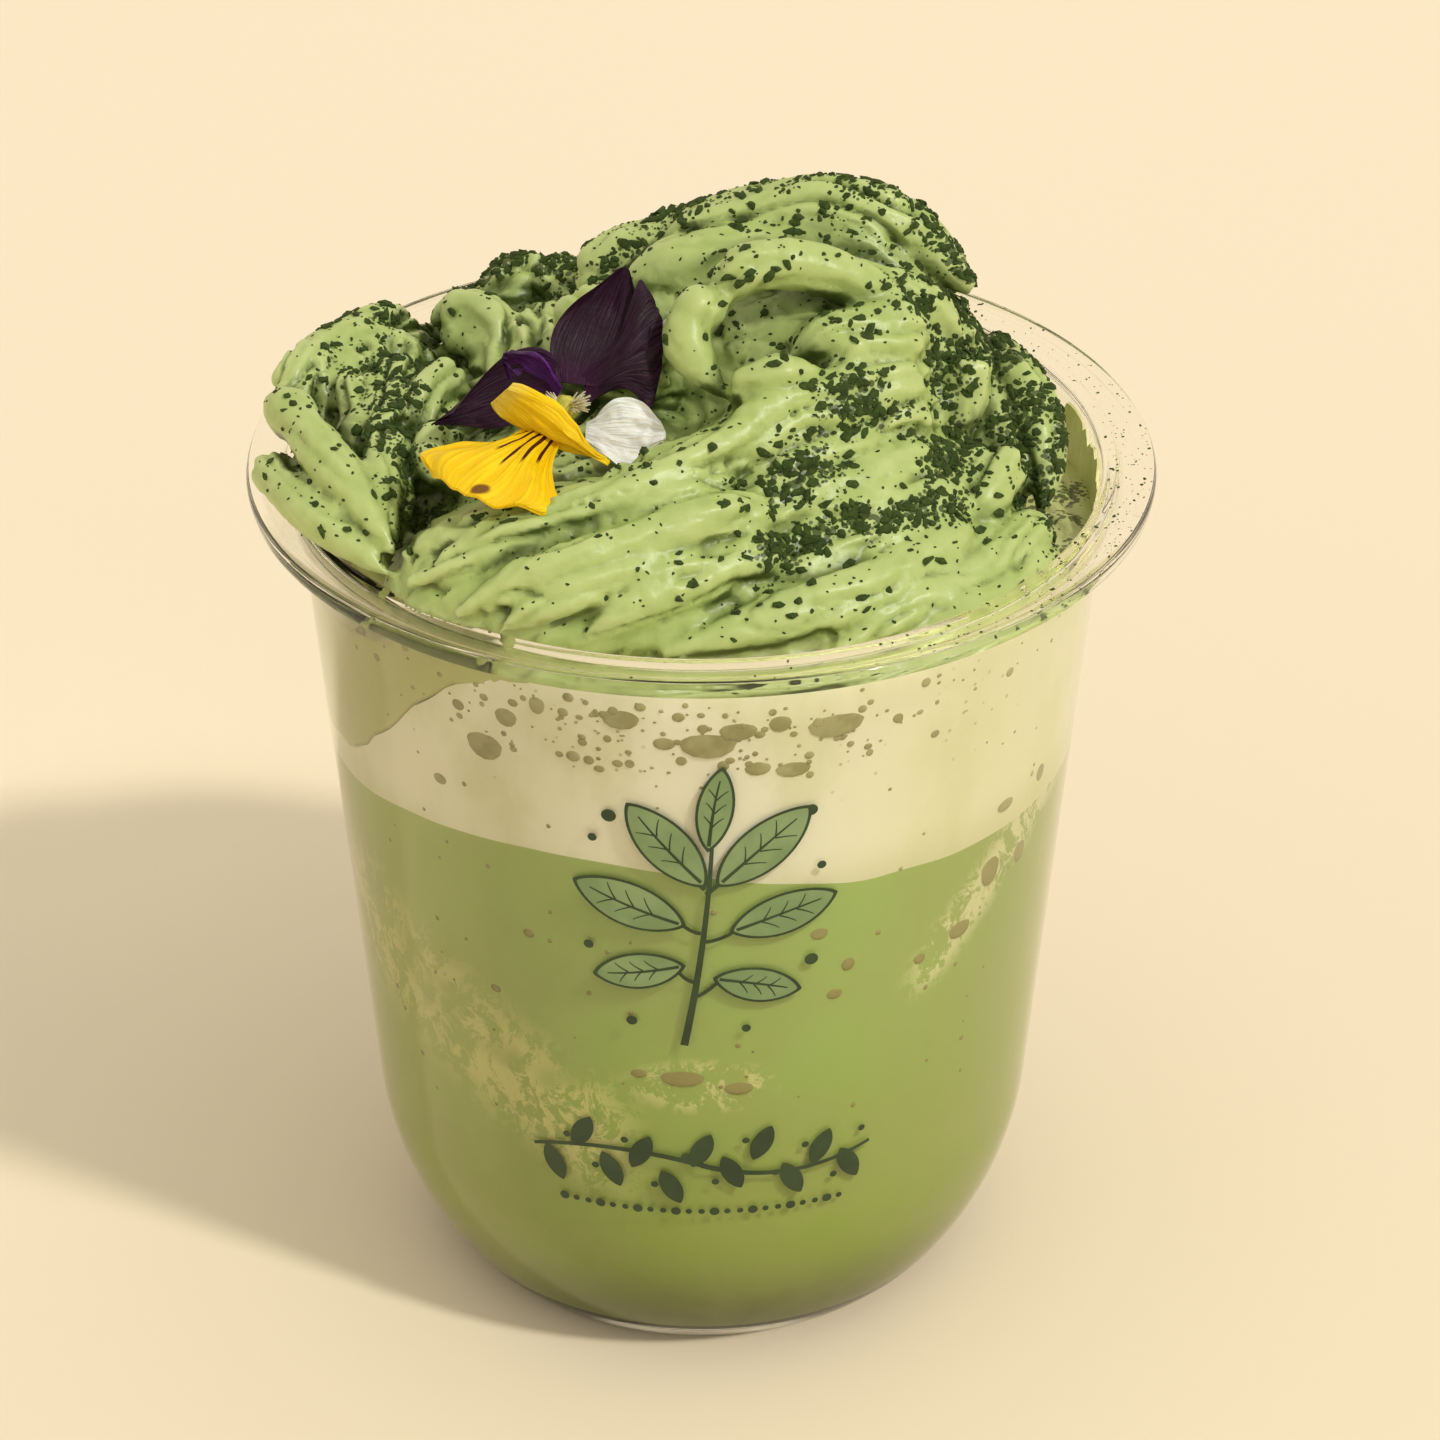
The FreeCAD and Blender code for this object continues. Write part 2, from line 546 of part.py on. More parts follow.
def petal_surface(root, tip, half, widest, dome, twist):
    """Curved sheet: narrow at the root, full at its widest, domed along and wavy at the edge."""
    root, tip, half = placed(root), placed(tip), Vec(*half)
    normal = (tip - root).cross(half).normalize()
    along_steps = 8
    across_steps = 6
    power = math.log(0.5) / math.log(widest)
    grid = []
    for i in range(along_steps + 1):
        u = i / along_steps
        width = 0.25 + 0.75 * math.sin(math.pi * (0.04 + 0.88 * u) ** power) ** 0.8
        line = []
        for j in range(across_steps + 1):
            v = 2 * j / across_steps - 1
            lift = dome * math.sin(math.pi * u) * (1 - v * v) + twist * v * u * u
            round_tip = 1 - 0.16 * v * v * u
            place = root + (tip - root) * (u * round_tip) + half * (v * width) + normal * lift
            line.append(place)
        grid.append(line)
    surface = Part.BSplineSurface()
    surface.interpolate(grid)
    return surface


def make_flower():
    nodes = []
    for name, row in PETALS.items():
        sheet_of_petal = doc.addObject("Part::Feature", name + "_face")
        sheet_of_petal.Shape = petal_surface(*row).toShape()
        petal = doc.addObject("Part::Offset", name)
        petal.Source = sheet_of_petal
        petal.Fill = True
        petal.setExpression("Value", "Sizes.petal_skin")
        petal.Label = name
        nodes.append(petal)
    knob = doc.addObject("Part::Sphere", "flower_centre")
    knob.setExpression("Radius", "Sizes.flower_knob")
    knob.Placement = FreeCAD.Placement(placed(KNOB), FreeCAD.Rotation())
    knob.Label = "flower_centre"
    nodes.append(knob)
    doc.recompute()
    return nodes


# ---------------------------------------------------------------------------------------------
# Build, check and write
# ---------------------------------------------------------------------------------------------
nodes = [make_cup()] + make_layers() + [make_cream()] + make_flower()
doc.recompute()

for item in doc.Objects:
    if "Invalid" in item.State or "Error" in item.State:
        raise RuntimeError(f"{item.Name} did not build: {item.State}")
for node in nodes:
    if node.Shape.isNull() or not node.Shape.isValid():
        raise RuntimeError(f"{node.Label} is not a valid solid")

os.makedirs("parts", exist_ok=True)
for node in nodes:
    node.Shape.exportStep(f"parts/{node.Label}.step")
    box = node.Shape.BoundBox
    print(node.Label, "solids", len(node.Shape.Solids), "volume", round(node.Shape.Volume),
          [round(v, 1) for v in (box.XMin, box.XMax, box.YMin, box.YMax, box.ZMin, box.ZMax)])
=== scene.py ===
import math
import random

import bmesh
import bpy
import numpy as np
from mathutils import Matrix, Vector, noise
from mathutils.bvhtree import BVHTree
from mathutils.kdtree import KDTree


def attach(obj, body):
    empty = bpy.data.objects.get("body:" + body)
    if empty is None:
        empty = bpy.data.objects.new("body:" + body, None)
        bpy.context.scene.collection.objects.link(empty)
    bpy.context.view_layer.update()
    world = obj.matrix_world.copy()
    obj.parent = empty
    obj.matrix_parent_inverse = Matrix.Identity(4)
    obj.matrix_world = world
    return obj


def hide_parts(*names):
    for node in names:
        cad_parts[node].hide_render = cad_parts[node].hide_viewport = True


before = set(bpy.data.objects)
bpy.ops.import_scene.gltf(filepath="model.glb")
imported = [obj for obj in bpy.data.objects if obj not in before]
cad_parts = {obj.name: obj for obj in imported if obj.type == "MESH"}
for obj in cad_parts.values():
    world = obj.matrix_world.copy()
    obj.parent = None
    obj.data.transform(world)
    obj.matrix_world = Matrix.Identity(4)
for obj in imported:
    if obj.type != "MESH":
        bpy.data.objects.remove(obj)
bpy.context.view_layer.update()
scene = bpy.context.scene
mm = 0.001

# --- Clear cup ---------------------------------------------------------------------------------
# One injection-moulded piece of clear plastic: a drafted wall that runs into a round bottom, a
# hollow foot ring under it, and a flat flange with a raised edge for the lid to snap on.

cup_height = 98.3
mouth_radius = 44.0
wall_draft = math.radians(5.2)
wall_thickness = 0.9
belly_height = 24.7
foot_height = 2.2
floor_height = 4.0


def wall_radius(z, inset=0.0):
    lean = math.tan(wall_draft) * (cup_height - z)
    return mouth_radius - inset / math.cos(wall_draft) - lean


def bowl_line(inset, low, high, rows=1):
    """Points from the floor's edge round the belly and up the wall, as (radius, height)."""
    belly = wall_radius(belly_height, inset) * math.cos(wall_draft)
    first = math.asin((low - belly_height) / belly)
    points = []
    for k in range(17):
        angle = first + (-wall_draft - first) * k / 16
        points.append((belly * math.cos(angle), belly_height + belly * math.sin(angle)))
    start = points[-1][1]
    for k in range(1, rows + 1):
        z = start + (high - start) * k / rows
        points.append((wall_radius(z, inset), z))
    return points


def turned(profile, steps=160):
    """A half profile of (radius, height) in mm, spun once round the cup's axis."""
    bm = bmesh.new()
    chain = [bm.verts.new((r, 0, z)) for r, z in profile]
    for a, b in zip(chain, chain[1:]):
        bm.edges.new((a, b))
    bmesh.ops.spin(bm, geom=bm.verts[:] + bm.edges[:], axis=(0, 0, 1), cent=(0, 0, 0),
                   angle=math.tau, steps=steps, use_merge=True)
    bmesh.ops.remove_doubles(bm, verts=bm.verts[:], dist=1e-4)
    bmesh.ops.recalc_face_normals(bm, faces=bm.faces[:])
    return bm


def round_edges(bm, sharper_than, width, segments=3):
    """Bevels every edge whose faces meet at more than that angle, in degrees."""
    limit = math.radians(sharper_than)
    sharp = [e for e in bm.edges if len(e.link_faces) == 2 and e.calc_face_angle(0) > limit]
    bmesh.ops.bevel(bm, geom=sharp, offset=width, segments=segments, profile=0.5,
                    affect="EDGES", material=-1)


def piece(name, bm, material, smooth=True, sharp_over=40):
    """Turns a bmesh in mm into a finished object in metres that goes with the cup."""
    bmesh.ops.scale(bm, verts=bm.verts[:], vec=(mm, mm, mm))
    mesh = bpy.data.meshes.new(name)
    bm.to_mesh(mesh)
    bm.free()
    if smooth:
        mesh.polygons.foreach_set("use_smooth", [True] * len(mesh.polygons))
        if sharp_over:
            mesh.set_sharp_from_angle(angle=math.radians(sharp_over))
    obj = bpy.data.objects.new(name, mesh)
    scene.collection.objects.link(obj)
    mesh.materials.append(material)
    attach(obj, "root")
    return obj


def tone(red, green, blue):
    """A colour as it looks on screen, 0 to 255, as the linear colour a shader takes."""
    linear = []
    for value in (red, green, blue):
        v = value / 255
        linear.append(v / 12.92 if v <= 0.04045 else ((v + 0.055) / 1.055) ** 2.4)
    return (*linear, 1.0)


class Shader:
    """A material's node tree, with one call for each kind of node that it needs."""

    def __init__(self, name, roughness=0.5, **sockets):
        self.material = bpy.data.materials.new(name)
        self.material.use_nodes = True
        self.tree = self.material.node_tree
        self.surface = self.tree.nodes["Principled BSDF"]
        self.surface.inputs["Roughness"].default_value = roughness
        for socket, value in sockets.items():
            self.surface.inputs[socket.replace("_", " ")].default_value = value
        self.place = self.new("TexCoord").outputs["Object"]

    def new(self, kind):
        return self.tree.nodes.new("ShaderNode" + kind)

    def put(self, socket, value):
        """Sets a socket to a value or links it to another node's output."""
        if isinstance(value, bpy.types.NodeSocket):
            self.tree.links.new(value, socket)
        else:
            socket.default_value = value

    def math(self, operation, a, b=0.0):
        node = self.new("Math")
        node.operation = operation
        self.put(node.inputs[0], a)
        self.put(node.inputs[1], b)
        return node.outputs[0]

    def times(self, first, *others):
        """The product of values and outputs."""
        for other in others:
            first = self.math("MULTIPLY", first, other)
        return first

    def plus(self, first, *others):
        """The sum of values and outputs."""
        for other in others:
            first = self.math("ADD", first, other)
        return first

    def square(self, value):
        return self.math("POWER", value, 2.0)

    def split(self, vector):
        """The three parts of a vector."""
        node = self.new("SeparateXYZ")
        self.put(node.inputs[0], vector)
        return node.outputs

    def axes(self):
        """Object coordinates in mm, as three outputs."""
        return [self.times(out, 1 / mm) for out in self.split(self.place)]

    def marks(self, name):
        """The three parts of a vector that the mesh stores at each vertex."""
        node = self.new("Attribute")
        node.attribute_name = name
        return self.split(node.outputs["Vector"])

    def noise(self, size, detail=3.0, rough=0.5, stretch=(1, 1, 1), warp=0.0):
        """Noise whose blotches are about that many mm across, from 0 to 1."""
        mapping = self.new("Mapping")
        mapping.inputs["Scale"].default_value = stretch
        self.put(mapping.inputs["Vector"], self.place)
        node = self.new("TexNoise")
        self.put(node.inputs["Vector"], mapping.outputs[0])
        node.inputs["Scale"].default_value = 1 / (size * mm)
        node.inputs["Detail"].default_value = detail
        node.inputs["Roughness"].default_value = rough
        node.inputs["Distortion"].default_value = warp
        return node.outputs[0]

    def cells(self, size):
        """Distance to the nearest of many scattered points, in cell sizes."""
        node = self.new("TexVoronoi")
        self.put(node.inputs["Vector"], self.place)
        node.inputs["Scale"].default_value = 1 / (size * mm)
        return node.outputs["Distance"]

    def step(self, value, low, high, out_low=0.0, out_high=1.0):
        """A smooth step from low to high."""
        node = self.new("MapRange")
        node.interpolation_type = "SMOOTHSTEP"
        self.put(node.inputs["Value"], value)
        node.inputs["From Min"].default_value = low
        node.inputs["From Max"].default_value = high
        node.inputs["To Min"].default_value = out_low
        node.inputs["To Max"].default_value = out_high
        return node.outputs[0]

    def blend(self, share, first, second):
        """First colour where share is 0, second where it is 1."""
        node = self.new("Mix")
        node.data_type = "RGBA"
        self.put(node.inputs["Factor"], share)
        self.put(node.inputs[6], first)
        self.put(node.inputs[7], second)
        return node.outputs[2]

    def over(self, base, shade, value, low, high, at_low=0.0, at_high=1.0):
        """A shade laid over a base, by a share that follows value as it goes low to high."""
        return self.blend(self.step(value, low, high, at_low, at_high), base, shade)

    def mottled(self, first, second, size, detail, low=0.35, high=0.65):
        """Two tones in blotches of noise."""
        return self.over(first, second, self.noise(size, detail), low, high)

    def bump(self, height, depth, strength=1.0):
        """Relief that many mm deep."""
        node = self.new("Bump")
        node.inputs["Strength"].default_value = strength
        node.inputs["Distance"].default_value = depth * mm
        self.put(node.inputs["Height"], height)
        self.put(self.surface.inputs["Normal"], node.outputs[0])

    def let_lamps_through(self, tint):
        """What is behind the surface gets the lamps' light, with no caustics."""
        rays = self.new("LightPath")
        passing = self.new("BsdfTransparent")
        passing.inputs["Color"].default_value = tint
        mix = self.new("MixShader")
        self.put(mix.inputs[0], rays.outputs["Is Shadow Ray"])
        self.tree.links.new(self.surface.outputs[0], mix.inputs[1])
        self.tree.links.new(passing.outputs[0], mix.inputs[2])
        out = self.tree.nodes["Material Output"]
        self.tree.links.new(mix.outputs[0], out.inputs["Surface"])

    def colour(self, value):
        """Links the surface's colour, and gives the material a plain one for solid view."""
        self.put(self.surface.inputs["Base Color"], value)
        self.material.diffuse_color = (0.5, 0.55, 0.3, 1)


clear = Shader("clear_plastic", roughness=0.04, IOR=1.40, Transmission_Weight=1.0)
clear.let_lamps_through((0.94, 0.94, 0.91, 1))
haze = clear.noise(9, 2.0, stretch=(1, 1, 0.3))
clearest, cloudiest = (0.985, 0.985, 0.965, 1), (0.97, 0.972, 0.94, 1)
clear.colour(clear.over(clearest, cloudiest, haze, 0.3, 0.7))
clear.bump(haze, 0.03, 0.4)

outside = bowl_line(0, foot_height, 96.6)
inside = bowl_line(wall_thickness, floor_height, 94.0)
flange = [(44.6, 96.7), (48.3, 96.5), (48.9, 96.7), (49.0, 97.6), (48.7, 98.3), (47.6, 98.3),
          (47.0, 97.9), (45.2, 97.9), (44.6, 98.3), (43.6, 98.3), (43.2, 97.9), (43.15, 94.6)]
foot = [(0, 2.4), (25.1, 2.4), (25.3, 0.1), (25.6, 0), (27.4, 0), (27.6, 0.2)]
cup_line = foot + outside + flange + inside[::-1] + [(0, floor_height)]
bm = turned(cup_line, 192)
round_edges(bm, 24, 0.18, 2)
cup = piece("clear_cup", bm, clear.material)
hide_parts("cup")

# --- Matcha drink ------------------------------------------------------------------------------
# Blended matcha and milk, up to a wavy tide line.  It wets the wall, so it reaches just into
# it.  Pale foam is marbled into it low on the left and in a swirl on the right.

wet = -0.30
tide_level = 66.4
fill_top = 69.0
seat_level = 93.8
ring_top = 93.5


def bearing(x, y):
    """Degrees from the front of the cup, positive to the right."""
    return math.degrees(math.atan2(x, -y))


def tide(x, y):
    lift = 5.1 * math.exp(-((bearing(x, y) + 22) / 38) ** 2)
    ripple = 0.5 * noise.noise(Vector((x, y, 0)) * 0.11)
    return tide_level + lift + ripple


def lean_back(x, y):
    """How far the filling has slumped at the back right."""
    return 5.0 * (max(0.0, 0.8 * x + 0.6 * y) / 44) ** 2


def seat(x, y):
    """Where foam ends and cream begins on the wall: pressed far down at the left."""
    turn = bearing(x, y)
    press = 24.5 / (1 + math.exp((turn + 49) / 8)) / (1 + math.exp(-(turn + 135) / 8))
    ripple = noise.noise(Vector((x, y, 40)) * 0.13)
    ripple += 0.7 * noise.noise(Vector((x, y, 9)) * 0.5)
    return seat_level - press - lean_back(x, y) * 1.1 + ripple


def relevel(bm, low, high, new_low, new_high):
    """Moves what lies between two levels to between two wavy ones, along the leaning wall."""
    for v in bm.verts:
        if v.co.z < low:
            continue
        share = min(1.0, (v.co.z - low) / (high - low))
        floor = new_low(v.co.x, v.co.y) if new_low else low
        z = floor + (new_high(v.co.x, v.co.y) - floor) * share
        reach = math.hypot(v.co.x, v.co.y)
        if reach > 30:
            grow = 1 + math.tan(wall_draft) * (z - v.co.z) / reach
            v.co.x *= grow
            v.co.y *= grow
        v.co.z = z


inner = wall_thickness + wet
fill = bowl_line(inner, floor_height - 0.3, fill_top, rows=8)
bm = turned([(0, fill[0][1])] + fill + [(20, fill_top), (0, fill_top)])
relevel(bm, 50.0, fill_top, None, tide)

drink_mat = Shader("matcha_drink", roughness=0.32)
x, y, z = drink_mat.axes()
# darker towards the bottom, most of all over the foot; paler towards the left and duller towards
# the right
base = drink_mat.over(tone(146, 164, 56), tone(166, 192, 102), z, 4, 62)
base = drink_mat.over(base, tone(108, 116, 26), z, 5, 17, 1.0, 0.0)
base = drink_mat.over(base, tone(184, 196, 112), x, -34, -8, 0.75, 0.0)
base = drink_mat.over(base, tone(156, 164, 88), x, 12, 34, 0.0, 0.7)
cloud = drink_mat.noise(14, 3.0, 0.6)
base = drink_mat.over(base, tone(166, 170, 100), cloud, 0.4, 0.72, 0.0, 0.35)
veil = drink_mat.step(drink_mat.noise(3.6, 8.0, 0.8, (1, 1, 0.8), 0.5), 0.48, 0.515)
# the marbled band runs down from the left edge towards the front
slope = drink_mat.plus(z, drink_mat.times(x, 0.63), -27.0)
band = drink_mat.step(drink_mat.math("ABSOLUTE", slope), 3.0, 12.0, 1.0, 0.0)
left = drink_mat.step(x, -12, -4, 1.0, 0.0)
torn = drink_mat.step(drink_mat.noise(11, 2.0), 0.3, 0.5)
marble = drink_mat.times(band, torn, left, veil)
# a small patch low at the front
across, above = drink_mat.times(x, 0.11), drink_mat.times(drink_mat.plus(z, -42.0), 0.24)
far = drink_mat.plus(drink_mat.square(across), drink_mat.square(above))
patch = drink_mat.times(drink_mat.step(far, 0.3, 1.1, 1.0, 0.0), veil)
# the swirl climbs from the right towards the foam
climb = drink_mat.plus(z, drink_mat.times(x, -1.2), -24.0)
swirl_band = drink_mat.step(drink_mat.math("ABSOLUTE", climb), 1.5, 6.0, 1.0, 0.0)
swirl = drink_mat.times(swirl_band, drink_mat.step(x, 20, 25), drink_mat.step(z, 47, 52), veil)
for streaked, shade in ((marble, tone(222, 220, 146)), (patch, tone(218, 216, 150)),
                        (swirl, tone(222, 220, 168))):
    base = drink_mat.blend(drink_mat.times(streaked, 0.85), base, shade)
drink_mat.colour(base)
drink = piece("matcha_drink_fill", bm, drink_mat.material)
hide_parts("matcha_drink")

# --- Milk foam ---------------------------------------------------------------------------------
# Pale aerated milk between the drink and the cream, with bubbles of all sizes against the wall
# and a faint green stain where the cream above has bled into it.

heights = [fill_top + k * (ring_top - fill_top) / 12 for k in range(13)]
ring = [(wall_radius(z, inner), z) for z in heights]
bm = turned([(0, fill_top)] + ring + [(0, ring_top)])
relevel(bm, fill_top, ring_top, tide, seat)

foam_mat = Shader("milk_foam", roughness=0.35)
x, y, z = foam_mat.axes()
# painted light: paler at the left, which the lamp at the right front leaves in shade, darker
# towards the lit right
pale = foam_mat.over(tone(247, 246, 222), tone(232, 229, 192), x, 0, 32)
stain = foam_mat.noise(11, 4.0, 0.6, (1, 1, 0.6))
pale = foam_mat.over(pale, tone(214, 218, 158), stain, 0.42, 0.66, 0.0, 0.4)
pale = foam_mat.over(pale, tone(188, 188, 120), z, 66, 73, 0.35, 0.0)
# painted shade: the fine bubbles high in the foam are darker specks, for the shade inside them
fine = foam_mat.step(foam_mat.cells(1.5), 0.10, 0.2, 1.0, 0.0)
where = foam_mat.step(foam_mat.noise(9, 2.0), 0.5, 0.62)
upper = foam_mat.step(z, 76, 84)
fizz = foam_mat.times(fine, where, upper, 0.6)
pale = foam_mat.blend(fizz, pale, tone(150, 150, 96))
foam_mat.colour(pale)
foam = piece("milk_foam_fill", bm, foam_mat.material)
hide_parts("milk_foam")

# --- Bubbles -----------------------------------------------------------------------------------
# Air caught between the drink and the plastic.  Each is a shallow lens against the wall, coloured
# a little darker than the foam: painted shade, as the back of each air pocket lies in shadow.

big_bubbles = [
    # (degrees from the front, height, half width, half height) in mm
    (-11, 90.4, 2.0, 1.4), (1, 87.7, 3.0, 1.9), (5.2, 89.2, 2.0, 1.2), (11, 89.8, 1.2, 1.1),
    (19, 88.8, 3.1, 1.7), (13, 83.8, 1.9, 1.0), (-32, 83.7, 2.2, 2.1), (-28, 88.0, 1.3, 1.3),
    (-41, 76.6, 0.9, 0.7), (-18, 84.8, 0.8, 0.7), (-5, 87.6, 1.2, 0.8), (8, 84.3, 1.4, 0.9),
    (-23, 90.5, 0.9, 1.2), (-3, 91.0, 0.7, 0.6), (24, 85.0, 0.5, 0.4), (-36, 87.5, 0.8, 0.7),
    (18, 61.6, 1.0, 0.8), (23, 56.7, 0.8, 0.9), (21, 53.0, 0.9, 0.7), (-34, 50.8, 0.7, 0.5),
    (-27, 60.0, 0.7, 0.6), (-3, 43.2, 2.4, 1.2), (6, 41.7, 1.6, 0.9), (-10, 43.5, 0.9, 0.6),
    (50, 62.0, 1.5, 2.4), (58, 61.4, 1.1, 1.6), (44, 55.9, 1.6, 1.2), (36, 54.3, 0.8, 0.7),
    (62, 70.0, 0.9, 1.2), (52, 69.5, 1.4, 0.8),
]


def join(bm, part):
    """Moves a small bmesh into a large one, which is slow to work on directly."""
    mesh = bpy.data.meshes.new("part")
    part.to_mesh(mesh)
    part.free()
    bm.from_mesh(mesh)
    bpy.data.meshes.remove(mesh)


chance = random.Random(11)
bubbles = list(big_bubbles)
upper_count, lower_count = 230, 60
for _ in range(upper_count):
    turn = chance.gauss(-2, 24)
    if abs(turn) > 62:
        continue
    across = 0.16 + 0.5 * chance.random() ** 3
    bubbles.append((turn, chance.gauss(88.5, 3.0), across, across * chance.uniform(0.7, 1.0)))
for _ in range(lower_count):
    across = 0.14 + 0.25 * chance.random() ** 2
    bubbles.append((chance.uniform(-60, 60), chance.uniform(30, 80), across, across))

bm = bmesh.new()
for turn, height, across, tall in bubbles:
    if height > 92.5:
        continue
    part = bmesh.new()
    wide = across > 0.8
    lens = bmesh.ops.create_uvsphere(part, u_segments=18 if wide else 9, v_segments=6,
                                     radius=1.0)["verts"]
    bmesh.ops.scale(part, verts=lens, vec=(across, 0.12, tall))
    reach = wall_radius(height, inner)
    bmesh.ops.translate(part, verts=lens, vec=(0, -reach, 0))
    if wide:
        for v in lens:
            v.co.y += reach - math.sqrt(max(0.0, reach * reach - v.co.x ** 2))
    around = Matrix.Rotation(math.radians(turn), 4, "Z") @ Matrix.Translation((0, 0, height))
    bmesh.ops.transform(part, verts=lens, matrix=around)
    join(bm, part)

bubble_mat = Shader("bubble", roughness=0.25)
x, y, z = bubble_mat.axes()
# painted shade: the bubbles are darker than the foam round them, and duller still low down in the
# drink
bubble_shade = bubble_mat.mottled(tone(150, 146, 92), tone(171, 168, 118), 2.2, 2.0)
bubble_mat.colour(bubble_mat.over(tone(150, 142, 80), bubble_shade, z, 55, 75))
bubble_piece = piece("wall_bubbles", bm, bubble_mat.material)

# --- Whipped cream -----------------------------------------------------------------------------
# Green matcha cream piped in overlapping strokes from the right down to the left, closed by a
# curl with a hollow.  The strokes melt together, and the left folds hang out over the rim.

strokes = [
    # name, start, middle and end over the heap's base plane, half thickness at start and end
    ("cap_top", (-6, 8, 17), (12, 9, 24.5), (29, 5, 19), 4.4, 4.2),
    ("cap_front", (-9.5, 3, 18), (9.5, 4, 21.5), (29, 1, 15.5), 3.6, 3.2),
    ("cap_left", (-13, 10, 14.5), (-5, 12, 18.5), (6.5, 12, 21.5), 4, 3.6),
    ("flank_left", (-13.5, 2, 18.5), (-9.5, -3, 16.5), (-2, -6, 16.5), 4, 3),
    ("flank_front", (-4.5, 6, 18), (-5, 1, 16), (-2, -5, 14.5), 3.5, 3),
    ("hood_top", (1, -7, 23), (11.5, -4, 24.5), (27, -3, 14.5), 2.6, 2.8),
    ("hood_right", (13, -3, 22.5), (21, -1, 20), (28, -1, 14.5), 2.4, 2.6),
    ("curl_turn", (3, -8, 24.5), (-1.5, -11, 20), (3, -15, 16.5), 2.6, 2.4),
    ("curl_end", (3, -15, 16.5), (7, -16, 17.5), (12.5, -14, 19), 2.2, 2.4),
    ("tongue_top", (24, -5, 18), (16.5, -8, 19.5), (9, -11, 18.5), 3, 2.4),
    ("tongue_under", (23.5, -7, 17), (18, -10, 18.5), (13, -12, 18.5), 2.2, 1.8),
    ("hanging_strand", (28.5, -3, 15), (28, -5, 10.5), (26, -9, 7.5), 2.6, 2.4),
    ("front_1", (24.5, -8, 15.5), (12.5, -15, 15.5), (-3, -25, 13.5), 2.3, 2.2),
    ("front_1_tail", (11, -16, 14.6), (-3, -25.5, 12), (-18, -31, 7.5), 2.3, 2.1),
    ("front_2", (25, -9, 13.5), (14.5, -16, 13.5), (1, -25, 12), 2.3, 2),
    ("front_3", (25, -11, 11), (14.5, -18, 11), (0, -28, 8), 2.4, 2.2),
    ("front_4", (25.5, -13, 7.5), (15, -21, 8), (-0.5, -31, 6.5), 2.5, 2.2),
    ("front_5", (27, -14, 4.5), (17.5, -25, 3.5), (-4, -36, 1.5), 2.6, 2.4),
    ("front_6", (27.5, -17, 2.2), (18.5, -30, 1.0), (-4, -39.2, -0.2), 3.5, 3.1),
    ("front_5_under", (26, -19, 2.5), (15, -28, 2.5), (3.5, -33, 3), 2.2, 2),
    ("front_7", (36, -13, 0.5), (28, -26, -0.5), (12, -38, -1.5), 2.8, 2.4),
    ("front_8", (37, -15, -2.5), (31, -27, -2), (20, -36, -2), 2.6, 2.2),
    ("ledge_back", (4, -24.5, 11.6), (-13.5, -30, 9), (-30, -33.5, 4.6), 2.6, 2.3),
    ("ledge_edge", (9, -26, 9), (-9, -33.4, 7.2), (-25, -37.8, 3.4), 2.8, 2.4),
    ("drip_right", (10, -28, 6), (-2, -35, 3.8), (-13, -39.6, 1.2), 2.6, 2.1),
    ("drip_left", (3, -31, 6), (-9, -36.4, 5), (-20.5, -39.4, 2.8), 2.2, 1.8),
    ("ledge_inner", (-7, -26, 9), (-19, -28.5, 7.4), (-30.5, -28.5, 5.4), 2.8, 2.3),
    ("lobe_upper", (-45.6, -3, 9.0), (-39.4, -16, 8.9), (-31.5, -28.4, 5.4), 2.9, 2.2),
    ("lobe_lower", (-46.2, -8.5, 4.6), (-41.4, -19.6, 4.6), (-32, -29.6, 3.6), 2.6, 2.3),
    ("back_left_ring", (-44.5, -4, 7.5), (-38.5, 10, 7.5), (-28.5, 20, 6), 3.4, 3),
    ("left_fold_1", (-33.5, 6, 9), (-32.5, -6, 8.5), (-37, -14, 7), 2.4, 2),
    ("left_fold_2", (-38, 2, 10), (-36, -6, 7.5), (-38.5, -12, 7), 2.2, 2),
    ("left_fold_3", (-31.5, -10, 8.5), (-33.5, -18, 7), (-31.5, -26, 5.5), 2.2, 2),
    ("left_hook", (-29.5, 14, 10), (-23.5, 12, 11), (-22, 4, 10.5), 2.4, 2.2),
    ("left_drip", (-25.5, 2, 9.5), (-29, -4, 10), (-29.5, -10, 8.5), 2, 1.6),
    ("left_peak", (-25.5, 20, 5), (-21.5, 20, 9.5), (-18, 20, 15.4), 4.6, 2.4),
    ("left_peak_fold", (-17.5, 20.5, 12.6), (-14.5, 18, 11.2), (-10, 15, 10.5), 3.2, 3.4),
    ("valley_fold", (-25.5, -18, 7), (-28.5, -14, 8), (-24.5, -10, 9.5), 2.2, 2),
    ("peak_foot", (-20.5, 8, 10), (-17.5, 2, 9.5), (-20.5, -6, 8.5), 3, 2.6),
    ("back_1", (25, 11, 10), (15, 24, 8), (-4, 28, 6), 3.4, 3),
    ("back_2", (25, 21, 2), (14, 33, 1), (-5, 36, -0.5), 3.2, 3),
    ("back_3", (-4, 31, 3), (-17, 32, 3), (-29, 25, 3), 3.2, 3),
    ("right_lobe", (30, 4, 10), (35.5, -2, 6.5), (36, -12, 1), 3, 2.8),
    ("right_back_lobe", (29, 10, 8), (34, 7, 6.5), (36.5, 1, 4), 2.6, 2.2),
    ("right_knuckle", (33, -10, 6), (30.5, -16, 4.5), (28, -20, 2), 2.4, 2.2),
]
